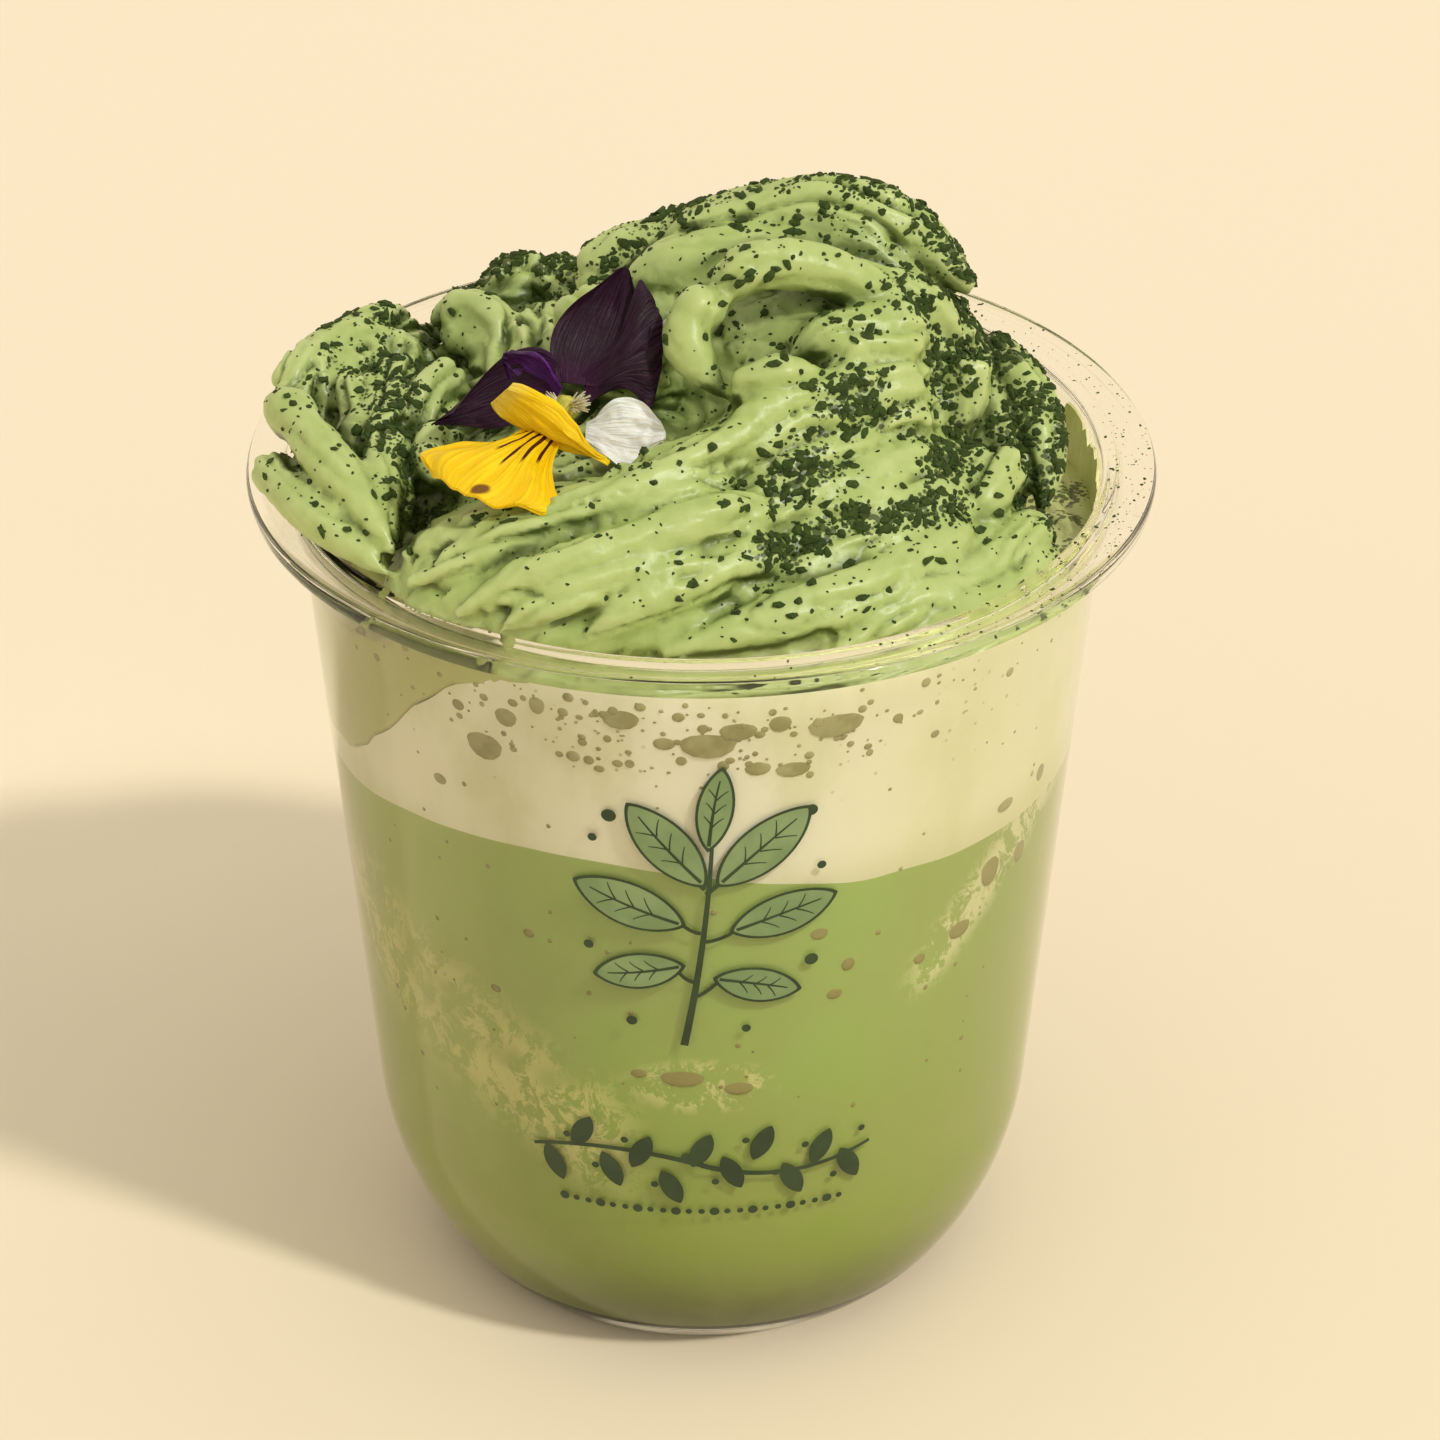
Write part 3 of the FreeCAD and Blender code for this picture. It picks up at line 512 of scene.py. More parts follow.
mounds = [
    # centre and half axes of the masses under the strokes
    ((13, 4, -2), (21, 20, 24)),
    ((12, -10, -4), (22, 24, 16)),
    ((-24, 2, -5), (18, 30, 9.5)),
    ((-12, -27, -2), (21, 12.5, 11.4)),
    ((-8, -12, -4), (24, 22, 13)),
    ((-14, 8, -2), (14, 16, 15)),
    ((20, -8, -6), (15, 24, 14)),
    ((0, -22, -5), (28, 17, 10)),
    ((0, 20, -6), (26, 20, 12)),
]
base_plane = Vector((0, 0, 98.0))


def through(start, middle, end, steps=24):
    """Points along the parabola through three points."""
    handle = middle * 2 - (start + end) / 2
    return [start * (1 - t) ** 2 + handle * (2 * t * (1 - t)) + end * t ** 2
            for t in (k / steps for k in range(steps + 1))]


def pipe(whole, line, first, last, seed):
    """A rope of cream along a line, pushed forward ring by ring, that droops at its ends."""
    opening, closing, droop = 0.2, 0.36, 1.6
    bm = bmesh.new()
    steps = len(line) - 1
    ring = bmesh.ops.create_circle(bm, segments=18, radius=1.0, cap_ends=True)["verts"]
    edges = list({e for v in ring for e in v.link_edges})
    before = Matrix.Identity(4)
    for k, point in enumerate(line):
        t = k / steps
        ahead = (line[min(k + 1, steps)] - line[max(k - 1, 0)]).normalized()
        side = ahead.cross(Vector((0, 0, 1))).normalized()
        up = side.cross(ahead)
        full = math.sin(min(1.0, t / opening, (1 - t) / closing) * math.pi / 2)
        half = (first + (last - first) * t) * (0.2 + 0.8 * full)
        half *= 1 + 0.13 * noise.noise(Vector((t * 4.5, seed * 7.3, 0)))
        turn = Matrix((side, up, ahead)).transposed().to_4x4()
        point = point - Vector((0, 0, droop * (1 - full)))
        now = Matrix.Translation(point) @ turn @ Matrix.Diagonal((half, half, 1, 1))
        if k:
            grown = bmesh.ops.extrude_edge_only(bm, edges=edges)["geom"]
            ring = [g for g in grown if isinstance(g, bmesh.types.BMVert)]
            edges = [g for g in grown if isinstance(g, bmesh.types.BMEdge)]
        bmesh.ops.transform(bm, verts=ring, matrix=now @ before.inverted())
        before = now
    bmesh.ops.contextual_create(bm, geom=edges)
    bmesh.ops.recalc_face_normals(bm, faces=bm.faces[:])
    join(whole, bm)


def modified(bm, *modifiers):
    """A bmesh after modifiers, each given as its kind and its settings."""
    mesh = bpy.data.meshes.new("work")
    bm.to_mesh(mesh)
    bm.free()
    holder = bpy.data.objects.new("work", mesh)
    scene.collection.objects.link(holder)
    for kind, settings in modifiers:
        modifier = holder.modifiers.new(kind, kind)
        for name, value in settings.items():
            setattr(modifier, name, value)
    bpy.context.view_layer.update()
    result = bmesh.new()
    result.from_object(holder, bpy.context.evaluated_depsgraph_get())
    bpy.data.objects.remove(holder)
    bpy.data.meshes.remove(mesh)
    return result


# most strokes have a thicker body under them, nearer the middle of the heap, that they melt into
free_strokes = ("hood_top", "curl_turn", "curl_end", "tongue_under", "lobe_upper", "lobe_lower")
loose_groups = ("left", "ledge", "drip")
main_middle, left_middle = Vector((4, 0, 88)), Vector((-24, 2, 88))
bm = bmesh.new()
for seed, (name, *points, first, last) in enumerate(strokes):
    points = [Vector(p) + base_plane for p in points]
    pipe(bm, through(*points), first, last, seed)
    if name in free_strokes:
        continue
    sink, extra = (3.0, 0.5) if name.split("_")[0] in loose_groups else (4.2, 1.7)
    heap = main_middle if points[0].x > -20 else left_middle
    sunk = [p + (heap - p).normalized() * sink for p in points]
    pipe(bm, through(*sunk), first + extra, last + extra, seed + 100)
for centre, axes in mounds:
    part = bmesh.new()
    ball = bmesh.ops.create_icosphere(part, subdivisions=4, radius=1.0)["verts"]
    bmesh.ops.scale(part, verts=ball, vec=axes)
    bmesh.ops.translate(part, verts=ball, vec=Vector(centre) + base_plane)
    join(bm, part)
# the plug of cream that fills the mouth and runs down the wall on the left
plug_top = 95.6
ring = [(wall_radius(z, inner), z) for z in (ring_top, 94.2, 95.0)]
plug = turned([(0, ring_top)] + ring + [(0, plug_top)], 128)
relevel(plug, ring_top, plug_top, seat, lambda x, y: 95.4 - lean_back(x, y))
join(bm, plug)
bm = modified(bm, ("REMESH", {"mode": "VOXEL", "voxel_size": 0.45}),
              ("SMOOTH", {"iterations": 2, "factor": 0.5}))

# the ridges that the nozzle's teeth leave run along each stroke; on some they are fainter
ridge_share = {"lobe": 0.25, "hood": 0.3, "curl": 0.25, "tongue": 0.35, "cap": 0.6, "flank": 0.5,
               "left": 0.6, "ledge": 0.6, "drip": 0.4, "right": 0.5, "valley": 0.4, "front": 0.5,
               "front_5": 0.35, "front_6": 0.3, "front_7": 0.4, "front_8": 0.4}
nozzle_path = []
for seed, (name, *points, first, last) in enumerate(strokes):
    relief = ridge_share.get(name, ridge_share.get(name.split("_")[0], 1.0))
    line = through(*(Vector(p) + base_plane for p in points))
    for k, point in enumerate(line):
        ahead = (line[min(k + 1, len(line) - 1)] - line[max(k - 1, 0)]).normalized()
        run = (line[-1] - line[0]).length * k / (len(line) - 1)
        nozzle_path.append((point, ahead, run, seed, relief))
tree = KDTree(len(nozzle_path))
for k, (point, *_) in enumerate(nozzle_path):
    tree.insert(point, k)
tree.balance()


def ridge(place):
    """Height of the ridges at a place on the heap: round backs with sharp creases between."""
    point, ahead, run, seed, relief = nozzle_path[tree.find(place)[1]]
    off = place - point
    run += off.dot(ahead)
    side = ahead.cross(Vector((0, 0, 1))).normalized()
    up = side.cross(ahead)
    wander = 0.8 * noise.noise(place * 0.12)
    along, across = 0.034, 0.30  # ridges in a mm, so they are long and narrow
    q = Vector((run * along, off.dot(side) * across + wander, off.dot(up) * across + seed * 3.7))
    coarse, fine = (1 - (1 - min(1.0, abs(noise.noise(p)) * 3.0)) ** 2
                    for p in (q, q * 2.2 + Vector((7, 3, 1))))
    drift = 0.6 + 0.8 * min(1.0, max(0.0, 0.5 + noise.noise(place * 0.09)))
    return relief * drift * (1.5 * (coarse - 0.75) + 0.35 * (fine - 0.7))


bm.normal_update()
pressed_flat = 40.5  # below the mouth, what lies further out than this is against the wall
moves = []
for v in bm.verts:
    if v.co.z > 95.5 or math.hypot(v.co.x, v.co.y) < pressed_flat:
        grain = noise.noise(v.co * 0.8) * 0.16
        moves.append((v, v.normal * (ridge(v.co) + grain)))
for v, move in moves:
    v.co += move
bmesh.ops.smooth_vert(bm, verts=bm.verts[:], factor=0.4,
                      use_axis_x=True, use_axis_y=True, use_axis_z=True)
# the cream stays inside the wall, and lies on the flange rather than in it
for v in bm.verts:
    reach = math.hypot(v.co.x, v.co.y)
    limit = wall_radius(v.co.z, inner)
    if v.co.z < base_plane.z and reach > limit:
        v.co.x *= limit / reach
        v.co.y *= limit / reach
    if v.co.z < 98.6 and reach > 43.6:
        v.co.z = max(v.co.z, base_plane.z)
bm.normal_update()


def hollowness(bm, rounds):
    """How far each vertex lies below its smoothed surroundings, in mm."""
    place = np.array([v.co for v in bm.verts])
    normal = np.array([v.normal for v in bm.verts])
    ends = np.array([[v.index for v in e.verts] for e in bm.edges])
    one, two = np.concatenate((ends[:, 0], ends[:, 1])), np.concatenate((ends[:, 1], ends[:, 0]))
    count = np.bincount(one, minlength=len(place))
    soft = place.copy()
    for _ in range(rounds):
        near = [np.bincount(one, soft[two, k], len(place)) / np.maximum(count, 1) for k in range(3)]
        soft = 0.4 * soft + 0.6 * np.stack(near, 1)
    return ((soft - place) * normal).sum(1)


bands = [
    # where the powder lies thick: from, to, half width, most, lowest height
    ((30, 9), (8, 12), 7.5, 0.72, 111), ((29, 6), (25, -4), 4.6, 1.0, 98),
    ((-8, 9), (0, 11), 5, 0.6, 110), ((21, -13.5), (13, -18.5), 2.5, 1.0, 98),
    ((15, -20.5), (4, -28), 2.3, 1.0, 98), ((26, -21), (7, -32), 2.4, 1.0, 98),
    ((27, -9), (25, -17), 3.4, 1.0, 98), ((31, 8), (36, -11), 5, 1.0, 90),
    ((41, 4), (38, -19), 3.2, 1.0, 88), ((30, 16), (20, 24), 6, 1.0, 92),
    ((-24, 21), (-12, 18), 6, 1.0, 98), ((-41, 2), (-36, 14), 4, 0.7, 98),
    ((-34, 4), (-30, -20), 4.2, 0.85, 98), ((12, 28), (-10, 31), 6, 0.6, 98),
    ((6, -9), (14, -10), 4, 0.3, 98),
]


def dusting(place, normal):
    """How thickly powder lies at a place on the cream, from 0 to 1."""
    x, y, z = place
    flat = Vector((x, y))
    thick = 0.08
    for first, last, spread, most, above in bands:
        first, run = Vector(first), Vector(last) - Vector(first)
        share = min(1.0, max(0.0, (flat - first).dot(run) / run.length_squared))
        far = (flat - first - run * share).length / spread
        if z > above:
            thick = max(thick, most * math.exp(-far * far))
    if math.hypot(x, y) > 38 and y < -24:
        thick *= 0.35
    along = Vector((x * 0.10 + y * 0.06, (y - x * 0.5) * 0.3, z * 0.16))
    patch = 0.5 + 0.7 * noise.noise(along) + 0.45 * noise.noise(place * 0.42)
    patch = min(1.0, max(0.0, (patch - 0.16) / 0.32))
    return thick * patch * min(1.0, max(0.0, normal.z + 0.25) * 1.5)


def shelter(bm, rays, reach):
    """Share of the ways out from each vertex that more cream closes off within some mm."""
    tree = BVHTree.FromBMesh(bm)
    chance = random.Random(3)
    ways = [Vector([chance.gauss(0, 1) for _ in range(3)]).normalized() for _ in range(rays)]
    closed = []
    for v in bm.verts:
        out = v.normal
        start = v.co + out * 0.06
        hits = 0
        for way in ways:
            side = way + out * 1.05
            if tree.ray_cast(start, side, reach)[0] is not None:
                hits += 1
        closed.append(hits / rays)
    return closed


bm.verts.index_update()
near_hollow = hollowness(bm, rounds=10)
sheltered = shelter(bm, rays=12, reach=7.0)
# the first two values are for painted shade and light: how far each vertex lies in a crease, and
# how much cream round it closes off the light; the third is how thick the powder lies
marks = bm.verts.layers.float_vector.new("cream")
for v in bm.verts:
    v[marks] = (near_hollow[v.index] * 1.6, sheltered[v.index], dusting(v.co, v.normal))
bm = modified(bm, ("DECIMATE", {"ratio": 0.6}))
marks = bm.verts.layers.float_vector["cream"]
bm.normal_update()

cream_mat = Shader("matcha_cream", roughness=0.38, Subsurface_Weight=0.12, Subsurface_Scale=0.0016)
cream_mat.surface.inputs["Subsurface Radius"].default_value = (1.0, 0.9, 0.4)
crease, shelter_shade, dusty = cream_mat.marks("cream")
mottle = cream_mat.noise(7, 4.0, 0.6)
green = cream_mat.over(tone(168, 187, 104), tone(184, 200, 122), mottle, 0.35, 0.7)
# painted shade, darker in the creases, and painted light, paler on the backs of the ridges
green = cream_mat.over(green, tone(92, 110, 38), crease, 0.0, 0.6, 0.0, 0.8)
green = cream_mat.over(green, tone(205, 216, 146), crease, -0.5, 0.0, 0.5, 0.0)
# painted shade where other cream round it closes off the light
green = cream_mat.over(green, tone(62, 78, 20), shelter_shade, 0.08, 0.8, 0.0, 0.95)
# paler low down, where it lies against the wall below the mouth
height = cream_mat.axes()[2]
green = cream_mat.over(green, tone(204, 204, 136), height, 93, 97, 0.75, 0.0)
# the finest powder, as a broken film
film = cream_mat.plus(cream_mat.times(dusty, 1.15), cream_mat.times(cream_mat.cells(0.7), -1.6))
film = cream_mat.plus(film, cream_mat.times(cream_mat.noise(1.6, 4.0, 0.7), 0.5))
green = cream_mat.over(green, tone(48, 66, 14), film, 0.26, 0.46, 0.0, 0.88)
cream_mat.colour(green)
cream_mat.bump(cream_mat.noise(1.3, 4.0, 0.6), 0.12, 0.6)
cream_faces = [(f.calc_center_median(), f.normal.copy(), f.calc_area(), f.verts[0][marks].z)
               for f in bm.faces]
cream = piece("whipped_cream_heap", bm, cream_mat.material, sharp_over=0)
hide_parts("whipped_cream")

# --- Smear on the wall -------------------------------------------------------------------------
# A thin pale film that the foam left on the inside of the cup at the right and the back, where
# the filling has slumped away from the rim.

smear_low, smear_high = 86, 97
smear_inset = wall_thickness - 0.1
heights = (smear_low, 88, 90, 92, 94, 95, 96, smear_high)
profile = [(wall_radius(z, smear_inset), z) for z in heights]
bm = bmesh.new()
chain = [bm.verts.new((r, 0, z)) for r, z in profile]
for a, b in zip(chain, chain[1:]):
    bm.edges.new((a, b))
to_start = Matrix.Rotation(math.radians(-52), 3, "Z")
bmesh.ops.rotate(bm, verts=bm.verts[:], cent=(0, 0, 0), matrix=to_start)
bmesh.ops.spin(bm, geom=bm.verts[:] + bm.edges[:], axis=(0, 0, 1), cent=(0, 0, 0),
               angle=math.radians(158), steps=150)
for v in bm.verts:
    turn = bearing(v.co.x, v.co.y)
    fade = min(1.0, max(0.0, (turn - 36) / 26)) * min(1.0, max(0.0, (188 - turn % 360) / 40))
    ragged = 0.85 + 0.9 * noise.noise(Vector((turn * 0.09, 3, 0)))
    ragged += 0.3 * noise.noise(Vector((turn * 0.4, 8, 0)))
    top = 88.5 + 8.4 * fade * min(1.0, max(0.15, ragged))
    z = smear_low + (v.co.z - smear_low) * (top - smear_low) / (smear_high - smear_low)
    grow = wall_radius(z, smear_inset) / math.hypot(v.co.x, v.co.y)
    v.co.x, v.co.y, v.co.z = v.co.x * grow, v.co.y * grow, z
inward = bmesh.ops.extrude_face_region(bm, geom=bm.faces[:])["geom"]
for v in inward:
    if isinstance(v, bmesh.types.BMVert):
        thin = 0.32 + 0.16 * noise.noise(v.co * 0.6)
        shrink = 1 - thin / math.hypot(v.co.x, v.co.y)
        v.co.x, v.co.y = v.co.x * shrink, v.co.y * shrink
bmesh.ops.recalc_face_normals(bm, faces=bm.faces[:])
smear_mat = Shader("foam_smear", roughness=0.4)
streaks = smear_mat.noise(5, 4.0, 0.6, (1, 1, 0.4))
smear_mat.colour(smear_mat.over(tone(206, 206, 138), tone(236, 226, 180), streaks, 0.35, 0.65))
smear_mat.bump(smear_mat.noise(1.5, 3.0), 0.1, 0.6)
smear = piece("foam_smear_on_wall", bm, smear_mat.material)

# --- Matcha powder -----------------------------------------------------------------------------
# Dry powder shaken over the top through a sieve.  It lies thick on the crown, the right side and
# the back left, clumps where the cream is damp, and a little of it fell on the flange.


def add_grain(bm, place, normal, size, flat):
    """One crumb of powder: a small jagged lump, pressed a little into what it lies on."""
    lump = bmesh.ops.create_icosphere(bm, subdivisions=1, radius=1.0)["verts"]
    for v in lump:
        v.co *= chance.uniform(0.6, 1.25)
    side = Vector((0, 0, 1)).cross(normal)
    side = side.normalized() if side.length > 0.2 else normal.orthogonal().normalized()
    side = Matrix.Rotation(chance.gauss(0, 0.6), 3, normal) @ side
    frame_axes = Matrix((side, normal.cross(side), normal)).transposed().to_4x4()
    long = size * chance.uniform(1.0, 2.1)
    grow = Matrix.Diagonal((long, size, size * flat, 1))
    bmesh.ops.transform(bm, verts=lump, matrix=Matrix.Translation(place) @ frame_axes @ grow)


def sprinkle(bm, grains):
    """Adds crumbs, each given as (place, normal, size, flatness), a few at a time."""
    for k in range(0, len(grains), 40):
        few = bmesh.new()
        for grain in grains[k:k + 40]:
            add_grain(few, *grain)
        join(bm, few)


crumb_count, speck_count, rim_count = 7400, 1000, 300
chance = random.Random(5)
spots = [f for f in cream_faces if f[0].z > 96 and f[1].z > -0.2]
weights = [area * thick ** 1.1 for c, n, area, thick in spots]
grains = []
for c, n, *_ in chance.choices(spots, weights=weights, k=crumb_count):
    size = 0.14 + 0.46 * chance.random() ** 2.6
    off = Vector([chance.uniform(-0.3, 0.3) for _ in range(3)])
    grains.append((c + off - n * off.dot(n) + n * size * 0.1, n, size, 0.62))
weights = [area * max(0.0, n.z) for c, n, area, thick in spots]
for c, n, *_ in chance.choices(spots, weights=weights, k=speck_count):
    size = chance.uniform(0.09, 0.2)
    grains.append((c + n * size * 0.1, n, size, 0.7))
bm = bmesh.new()
sprinkle(bm, grains)
powder_mat = Shader("matcha_powder", roughness=0.95)
lumps = powder_mat.noise(0.8, 3.0, 0.7)
powder_mat.colour(powder_mat.over(tone(38, 54, 8), tone(62, 82, 20), lumps, 0.3, 0.7))
powder_mat.bump(powder_mat.noise(0.25, 4.0, 0.8), 0.08)
powder = piece("matcha_powder_on_cream", bm, powder_mat.material, smooth=False)

grains = []
for _ in range(rim_count):
    turn = math.radians(chance.gauss(70, 42))
    reach = chance.uniform(43.9, 48.6)
    top = 97.92 if 45.2 < reach < 47.0 else 98.3
    size = 0.06 + 0.13 * chance.random() ** 3
    place = Vector((math.sin(turn) * reach, -math.cos(turn) * reach, top + size * 0.2))
    grains.append((place, Vector((0, 0, 1)), size, 0.6))
bm = bmesh.new()
sprinkle(bm, grains)
rim_dust = piece("matcha_powder_on_rim", bm, powder_mat.material, smooth=False)

# --- Viola -------------------------------------------------------------------------------------
# A fresh viola laid on the cream.  Each petal is one thin sheet, narrow where it leaves the
# knob, domed along its length and ruffled at the edge, with fine veins.

petals = [
    # name, root, tip, half width, (share of the length where it is widest, dome, twist, ruffle,
    # how pointed, lean), material
    ("purple_upper", (-13, -13.2, 15.6), (-8.0, -4.4, 24.8), (5.0, -0.4, -0.6),
     (0.46, 1.3, 0.8, 0.25, 0.4, 0.1), "purple"),
    ("purple_right", (-12.2, -13, 14.8), (-4, -8.2, 19.2), (-0.8, 4.6, 5.4),
     (0.85, 1.0, 0.5, 0.25, 0.1, 0.0), "purple"),
    ("purple_left", (-15.4, -14.2, 15.4), (-27.9, -17.5, 13.0), (0.6, 2.9, 3.0),
     (0.38, 0.9, -0.4, 0.25, 0.8, 0.4), "purple"),
    ("purple_fold", (-14.7, -14.8, 15.4), (-20.6, -12.2, 18.6), (1.0, -0.5, 2.1),
     (0.6, 0.9, 0.3, 0.2, 0.3, 0.0), "violet"),
    ("yellow_lip", (-14.8, -17.4, 12.9), (-24.0, -31.0, 12.0), (6.9, -3.5, -2.0),
     (0.80, 1.0, 0.5, 0.6, 0.0, 0.0), "lip"),
    ("yellow_side", (-20.6, -18, 17), (-9.4, -22.6, 11.5), (1.7, -1.3, 2.3),
     (0.30, 1.0, 0.5, 0.35, 0.6, 0.0), "yellow"),
    ("white_right", (-12, -16.0, 11.6), (-3.6, -17.6, 11.8), (-0.2, -3.0, -2.5),
     (0.60, 0.7, 0.5, 0.75, 0.0, 0.0), "white"),
    ("white_back", (-8, -10.2, 15.6), (-2.2, -6.2, 20.4), (1.8, 1.2, 0.6),
     (0.60, 0.6, 0.4, 0.3, 0.1, 0.0), "white"),
]
petal_skin = 0.32


def petal_shader(name, body_colour, vein_colour, **look):
    """A petal with veins that fan out from its root: the shader, u along it, v across, colour."""
    mat = Shader(name, **look)
    u, v, _ = mat.marks("petal")
    comb = mat.new("CombineXYZ")
    mat.put(comb.inputs[0], mat.times(u, 1.2))
    mat.put(comb.inputs[1], mat.times(v, 9.0))
    streak = mat.new("TexNoise")
    mat.put(streak.inputs["Vector"], comb.outputs[0])
    streak.inputs["Scale"].default_value = 1.6
    streak.inputs["Detail"].default_value = 4.0
    veins = mat.step(streak.outputs[0], 0.38, 0.62)
    body = mat.blend(veins, body_colour, vein_colour)
    mat.bump(mat.plus(veins, mat.noise(0.5, 3.0)), 0.10, 0.8)
    return mat, u, v, body


satin = {"roughness": 0.5, "Specular_IOR_Level": 0.25}
yellows = tone(246, 196, 0), tone(252, 212, 4)

purple_mat, u, v, body = petal_shader("purple_petal", tone(28, 4, 24), tone(42, 8, 38),
                                      Sheen_Weight=0.06, Sheen_Roughness=0.4, **satin)
purple_mat.surface.inputs["Sheen Tint"].default_value = tone(150, 60, 140)
# painted sheen: a paler purple towards the root
purple_mat.colour(purple_mat.over(body, tone(66, 14, 62), u, 0.0, 0.3, 0.5, 0.0))

violet_mat, u, v, body = petal_shader("violet_petal", tone(70, 16, 92), tone(98, 34, 128),
                                      roughness=0.45, Specular_IOR_Level=0.3)
violet_mat.colour(violet_mat.over(body, tone(44, 10, 46), u, 0.5, 1.0, 0.0, 0.7))

yellow_mat, u, v, body = petal_shader("yellow_petal", *yellows, **satin)
yellow_mat.colour(yellow_mat.over(body, tone(240, 226, 120), u, 0.0, 0.2, 0.4, 0.0))

# the lip has dark lines that fan out from its root, and one brown spot near its edge
lip_mat, u, v, body = petal_shader("yellow_lip_petal", *yellows, **satin)
fan = lip_mat.times(v, 3.4)
gap = lip_mat.math("ABSOLUTE", lip_mat.math("SUBTRACT", fan, lip_mat.math("ROUND", fan)))
thin = lip_mat.times(lip_mat.step(u, 0.1, 0.75, 1.0, 0.25), 0.24)
off_middle = lip_mat.math("ABSOLUTE", v)
reach = lip_mat.plus(u, lip_mat.times(off_middle, 0.3))
guide = lip_mat.times(lip_mat.math("LESS_THAN", gap, thin),
                      lip_mat.step(reach, 0.60, 0.68, 1.0, 0.0),
                      lip_mat.math("GREATER_THAN", u, 0.16),
                      lip_mat.math("LESS_THAN", off_middle, 0.75))
lip = lip_mat.blend(guide, body, tone(70, 20, 16))
off_u = lip_mat.times(lip_mat.math("SUBTRACT", u, 0.93), 14.0)
off_v = lip_mat.times(lip_mat.math("SUBTRACT", v, 0.12), 7.0)
spot = lip_mat.plus(lip_mat.times(off_u, off_u), lip_mat.times(off_v, off_v))
lip = lip_mat.over(lip, tone(96, 40, 14), spot, 0.3, 1.0, 0.9, 0.0)
lip_mat.colour(lip_mat.over(lip, tone(226, 216, 110), u, 0.0, 0.14, 0.6, 0.0))

white_mat, u, v, body = petal_shader("white_petal", tone(248, 244, 230), tone(255, 253, 247),
                                     roughness=0.5, Subsurface_Weight=0.15, Subsurface_Scale=0.001)
white_mat.colour(body)
finishes = {"purple": (purple_mat, "purple_petal"), "violet": (violet_mat, "purple_petal"),
            "yellow": (yellow_mat, "yellow_petal"), "lip": (lip_mat, "yellow_petal"),
            "white": (white_mat, "white_petal")}

for seed, (name, root, tip, half, form, finish) in enumerate(petals):
    widest, dome, twist, ruffle, pointed, lean = form
    root, tip, half = Vector(root) + base_plane, Vector(tip) + base_plane, Vector(half)
    outward = (tip - root).cross(half).normalized()
    power = math.log(0.5) / math.log(widest)
    bm = bmesh.new()
    place_on_petal = bm.verts.layers.float_vector.new("petal")
    bmesh.ops.create_grid(bm, x_segments=30, y_segments=26, size=1.0)
    for v in bm.verts:
        u, across = (v.co.x + 1) / 2, v.co.y
        v[place_on_petal] = (u, across, 0)
        width = 0.25 + 0.75 * math.sin(math.pi * (0.04 + 0.88 * u) ** power) ** 0.8
        width *= 1 - pointed * u ** 4
        lift = dome * math.sin(math.pi * u) * (1 - across * across) + twist * across * u * u
        wave = noise.noise(Vector((u * 3, across * 3.2, seed * 5.1)))
        lift += ruffle * (across * across + u * u) * wave * 2.2
        lift += 0.10 * math.sin(across * 17 + seed) * u
        lift += ruffle * 0.5 * noise.noise(Vector((u * 8, across * 6, seed * 3.3)))
        tip_round = 1 - 0.16 * across * across * u + 0.03 * wave * u
        v.co = root + (tip - root) * (u * tip_round) + half * ((across + lean) * width)
        v.co += outward * lift
    top = bmesh.ops.extrude_face_region(bm, geom=bm.faces[:])["geom"]
    top = [g for g in top if isinstance(g, bmesh.types.BMVert)]
    bmesh.ops.translate(bm, verts=top, vec=outward * petal_skin)
    bmesh.ops.recalc_face_normals(bm, faces=bm.faces[:])
    mat, slot_name = finishes[finish]
    petal = piece("viola_" + name, bm, mat.material)
    if name != "purple_fold":
        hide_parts("petal_" + name)

# --- Heart of the viola ------------------------------------------------------------------------
# A green-yellow knob where the petals meet, a little lumpy, with two tufts of short white hairs
# that stand out from it to the left and the right.

knob = Vector((-14.2, -15.0, 111.6))
bm = bmesh.new()
ball = bmesh.ops.create_icosphere(bm, subdivisions=3, radius=1.45)["verts"]
for v in ball:
    v.co *= 1 + 0.16 * noise.noise(v.co * 1.6)
bmesh.ops.translate(bm, verts=ball, vec=knob)
heart_mat = Shader("flower_heart", roughness=0.55)
heart_mat.colour(heart_mat.mottled(tone(178, 176, 60), tone(224, 214, 96), 0.9, 3.0))
heart_mat.bump(heart_mat.noise(0.3, 2.0), 0.08)
heart = piece("viola_heart", bm, heart_mat.material)
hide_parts("flower_centre")

chance = random.Random(8)
bm = bmesh.new()
hair_count = 130
for k in range(hair_count):
    side = -1 if k % 2 else 1
    out = Vector((side * chance.uniform(0.3, 1.0), -chance.uniform(0.2, 0.9),
                  chance.uniform(0.1, 1.0))).normalized()
    hair = bmesh.ops.create_cone(bm, segments=5, radius1=0.11, radius2=0.05, depth=1.0,
                                 cap_ends=True)["verts"]
    long = chance.uniform(0.7, 1.8)
    bmesh.ops.scale(bm, verts=hair, vec=(1, 1, long))
    turn = out.to_track_quat("Z", "Y").to_matrix().to_4x4()
    start = knob + out * 1.3 + Vector((side * 0.4, -0.3, 0.5))
    bmesh.ops.transform(bm, verts=hair, matrix=Matrix.Translation(start + out * long / 2) @ turn)
hair_mat = Shader("flower_hair", roughness=0.6)
hair_mat.colour(hair_mat.blend(hair_mat.noise(0.6, 2.0), tone(222, 214, 170), tone(246, 242, 222)))
hairs = piece("viola_hairs", bm, hair_mat.material)

# --- Printed decoration ------------------------------------------------------------------------
# Ink screen-printed on the outside of the cup: a sprig of tea with outlined leaves, and under it
# a garland of solid leaves with a row of dots.  Both lie on the straight part of the wall.


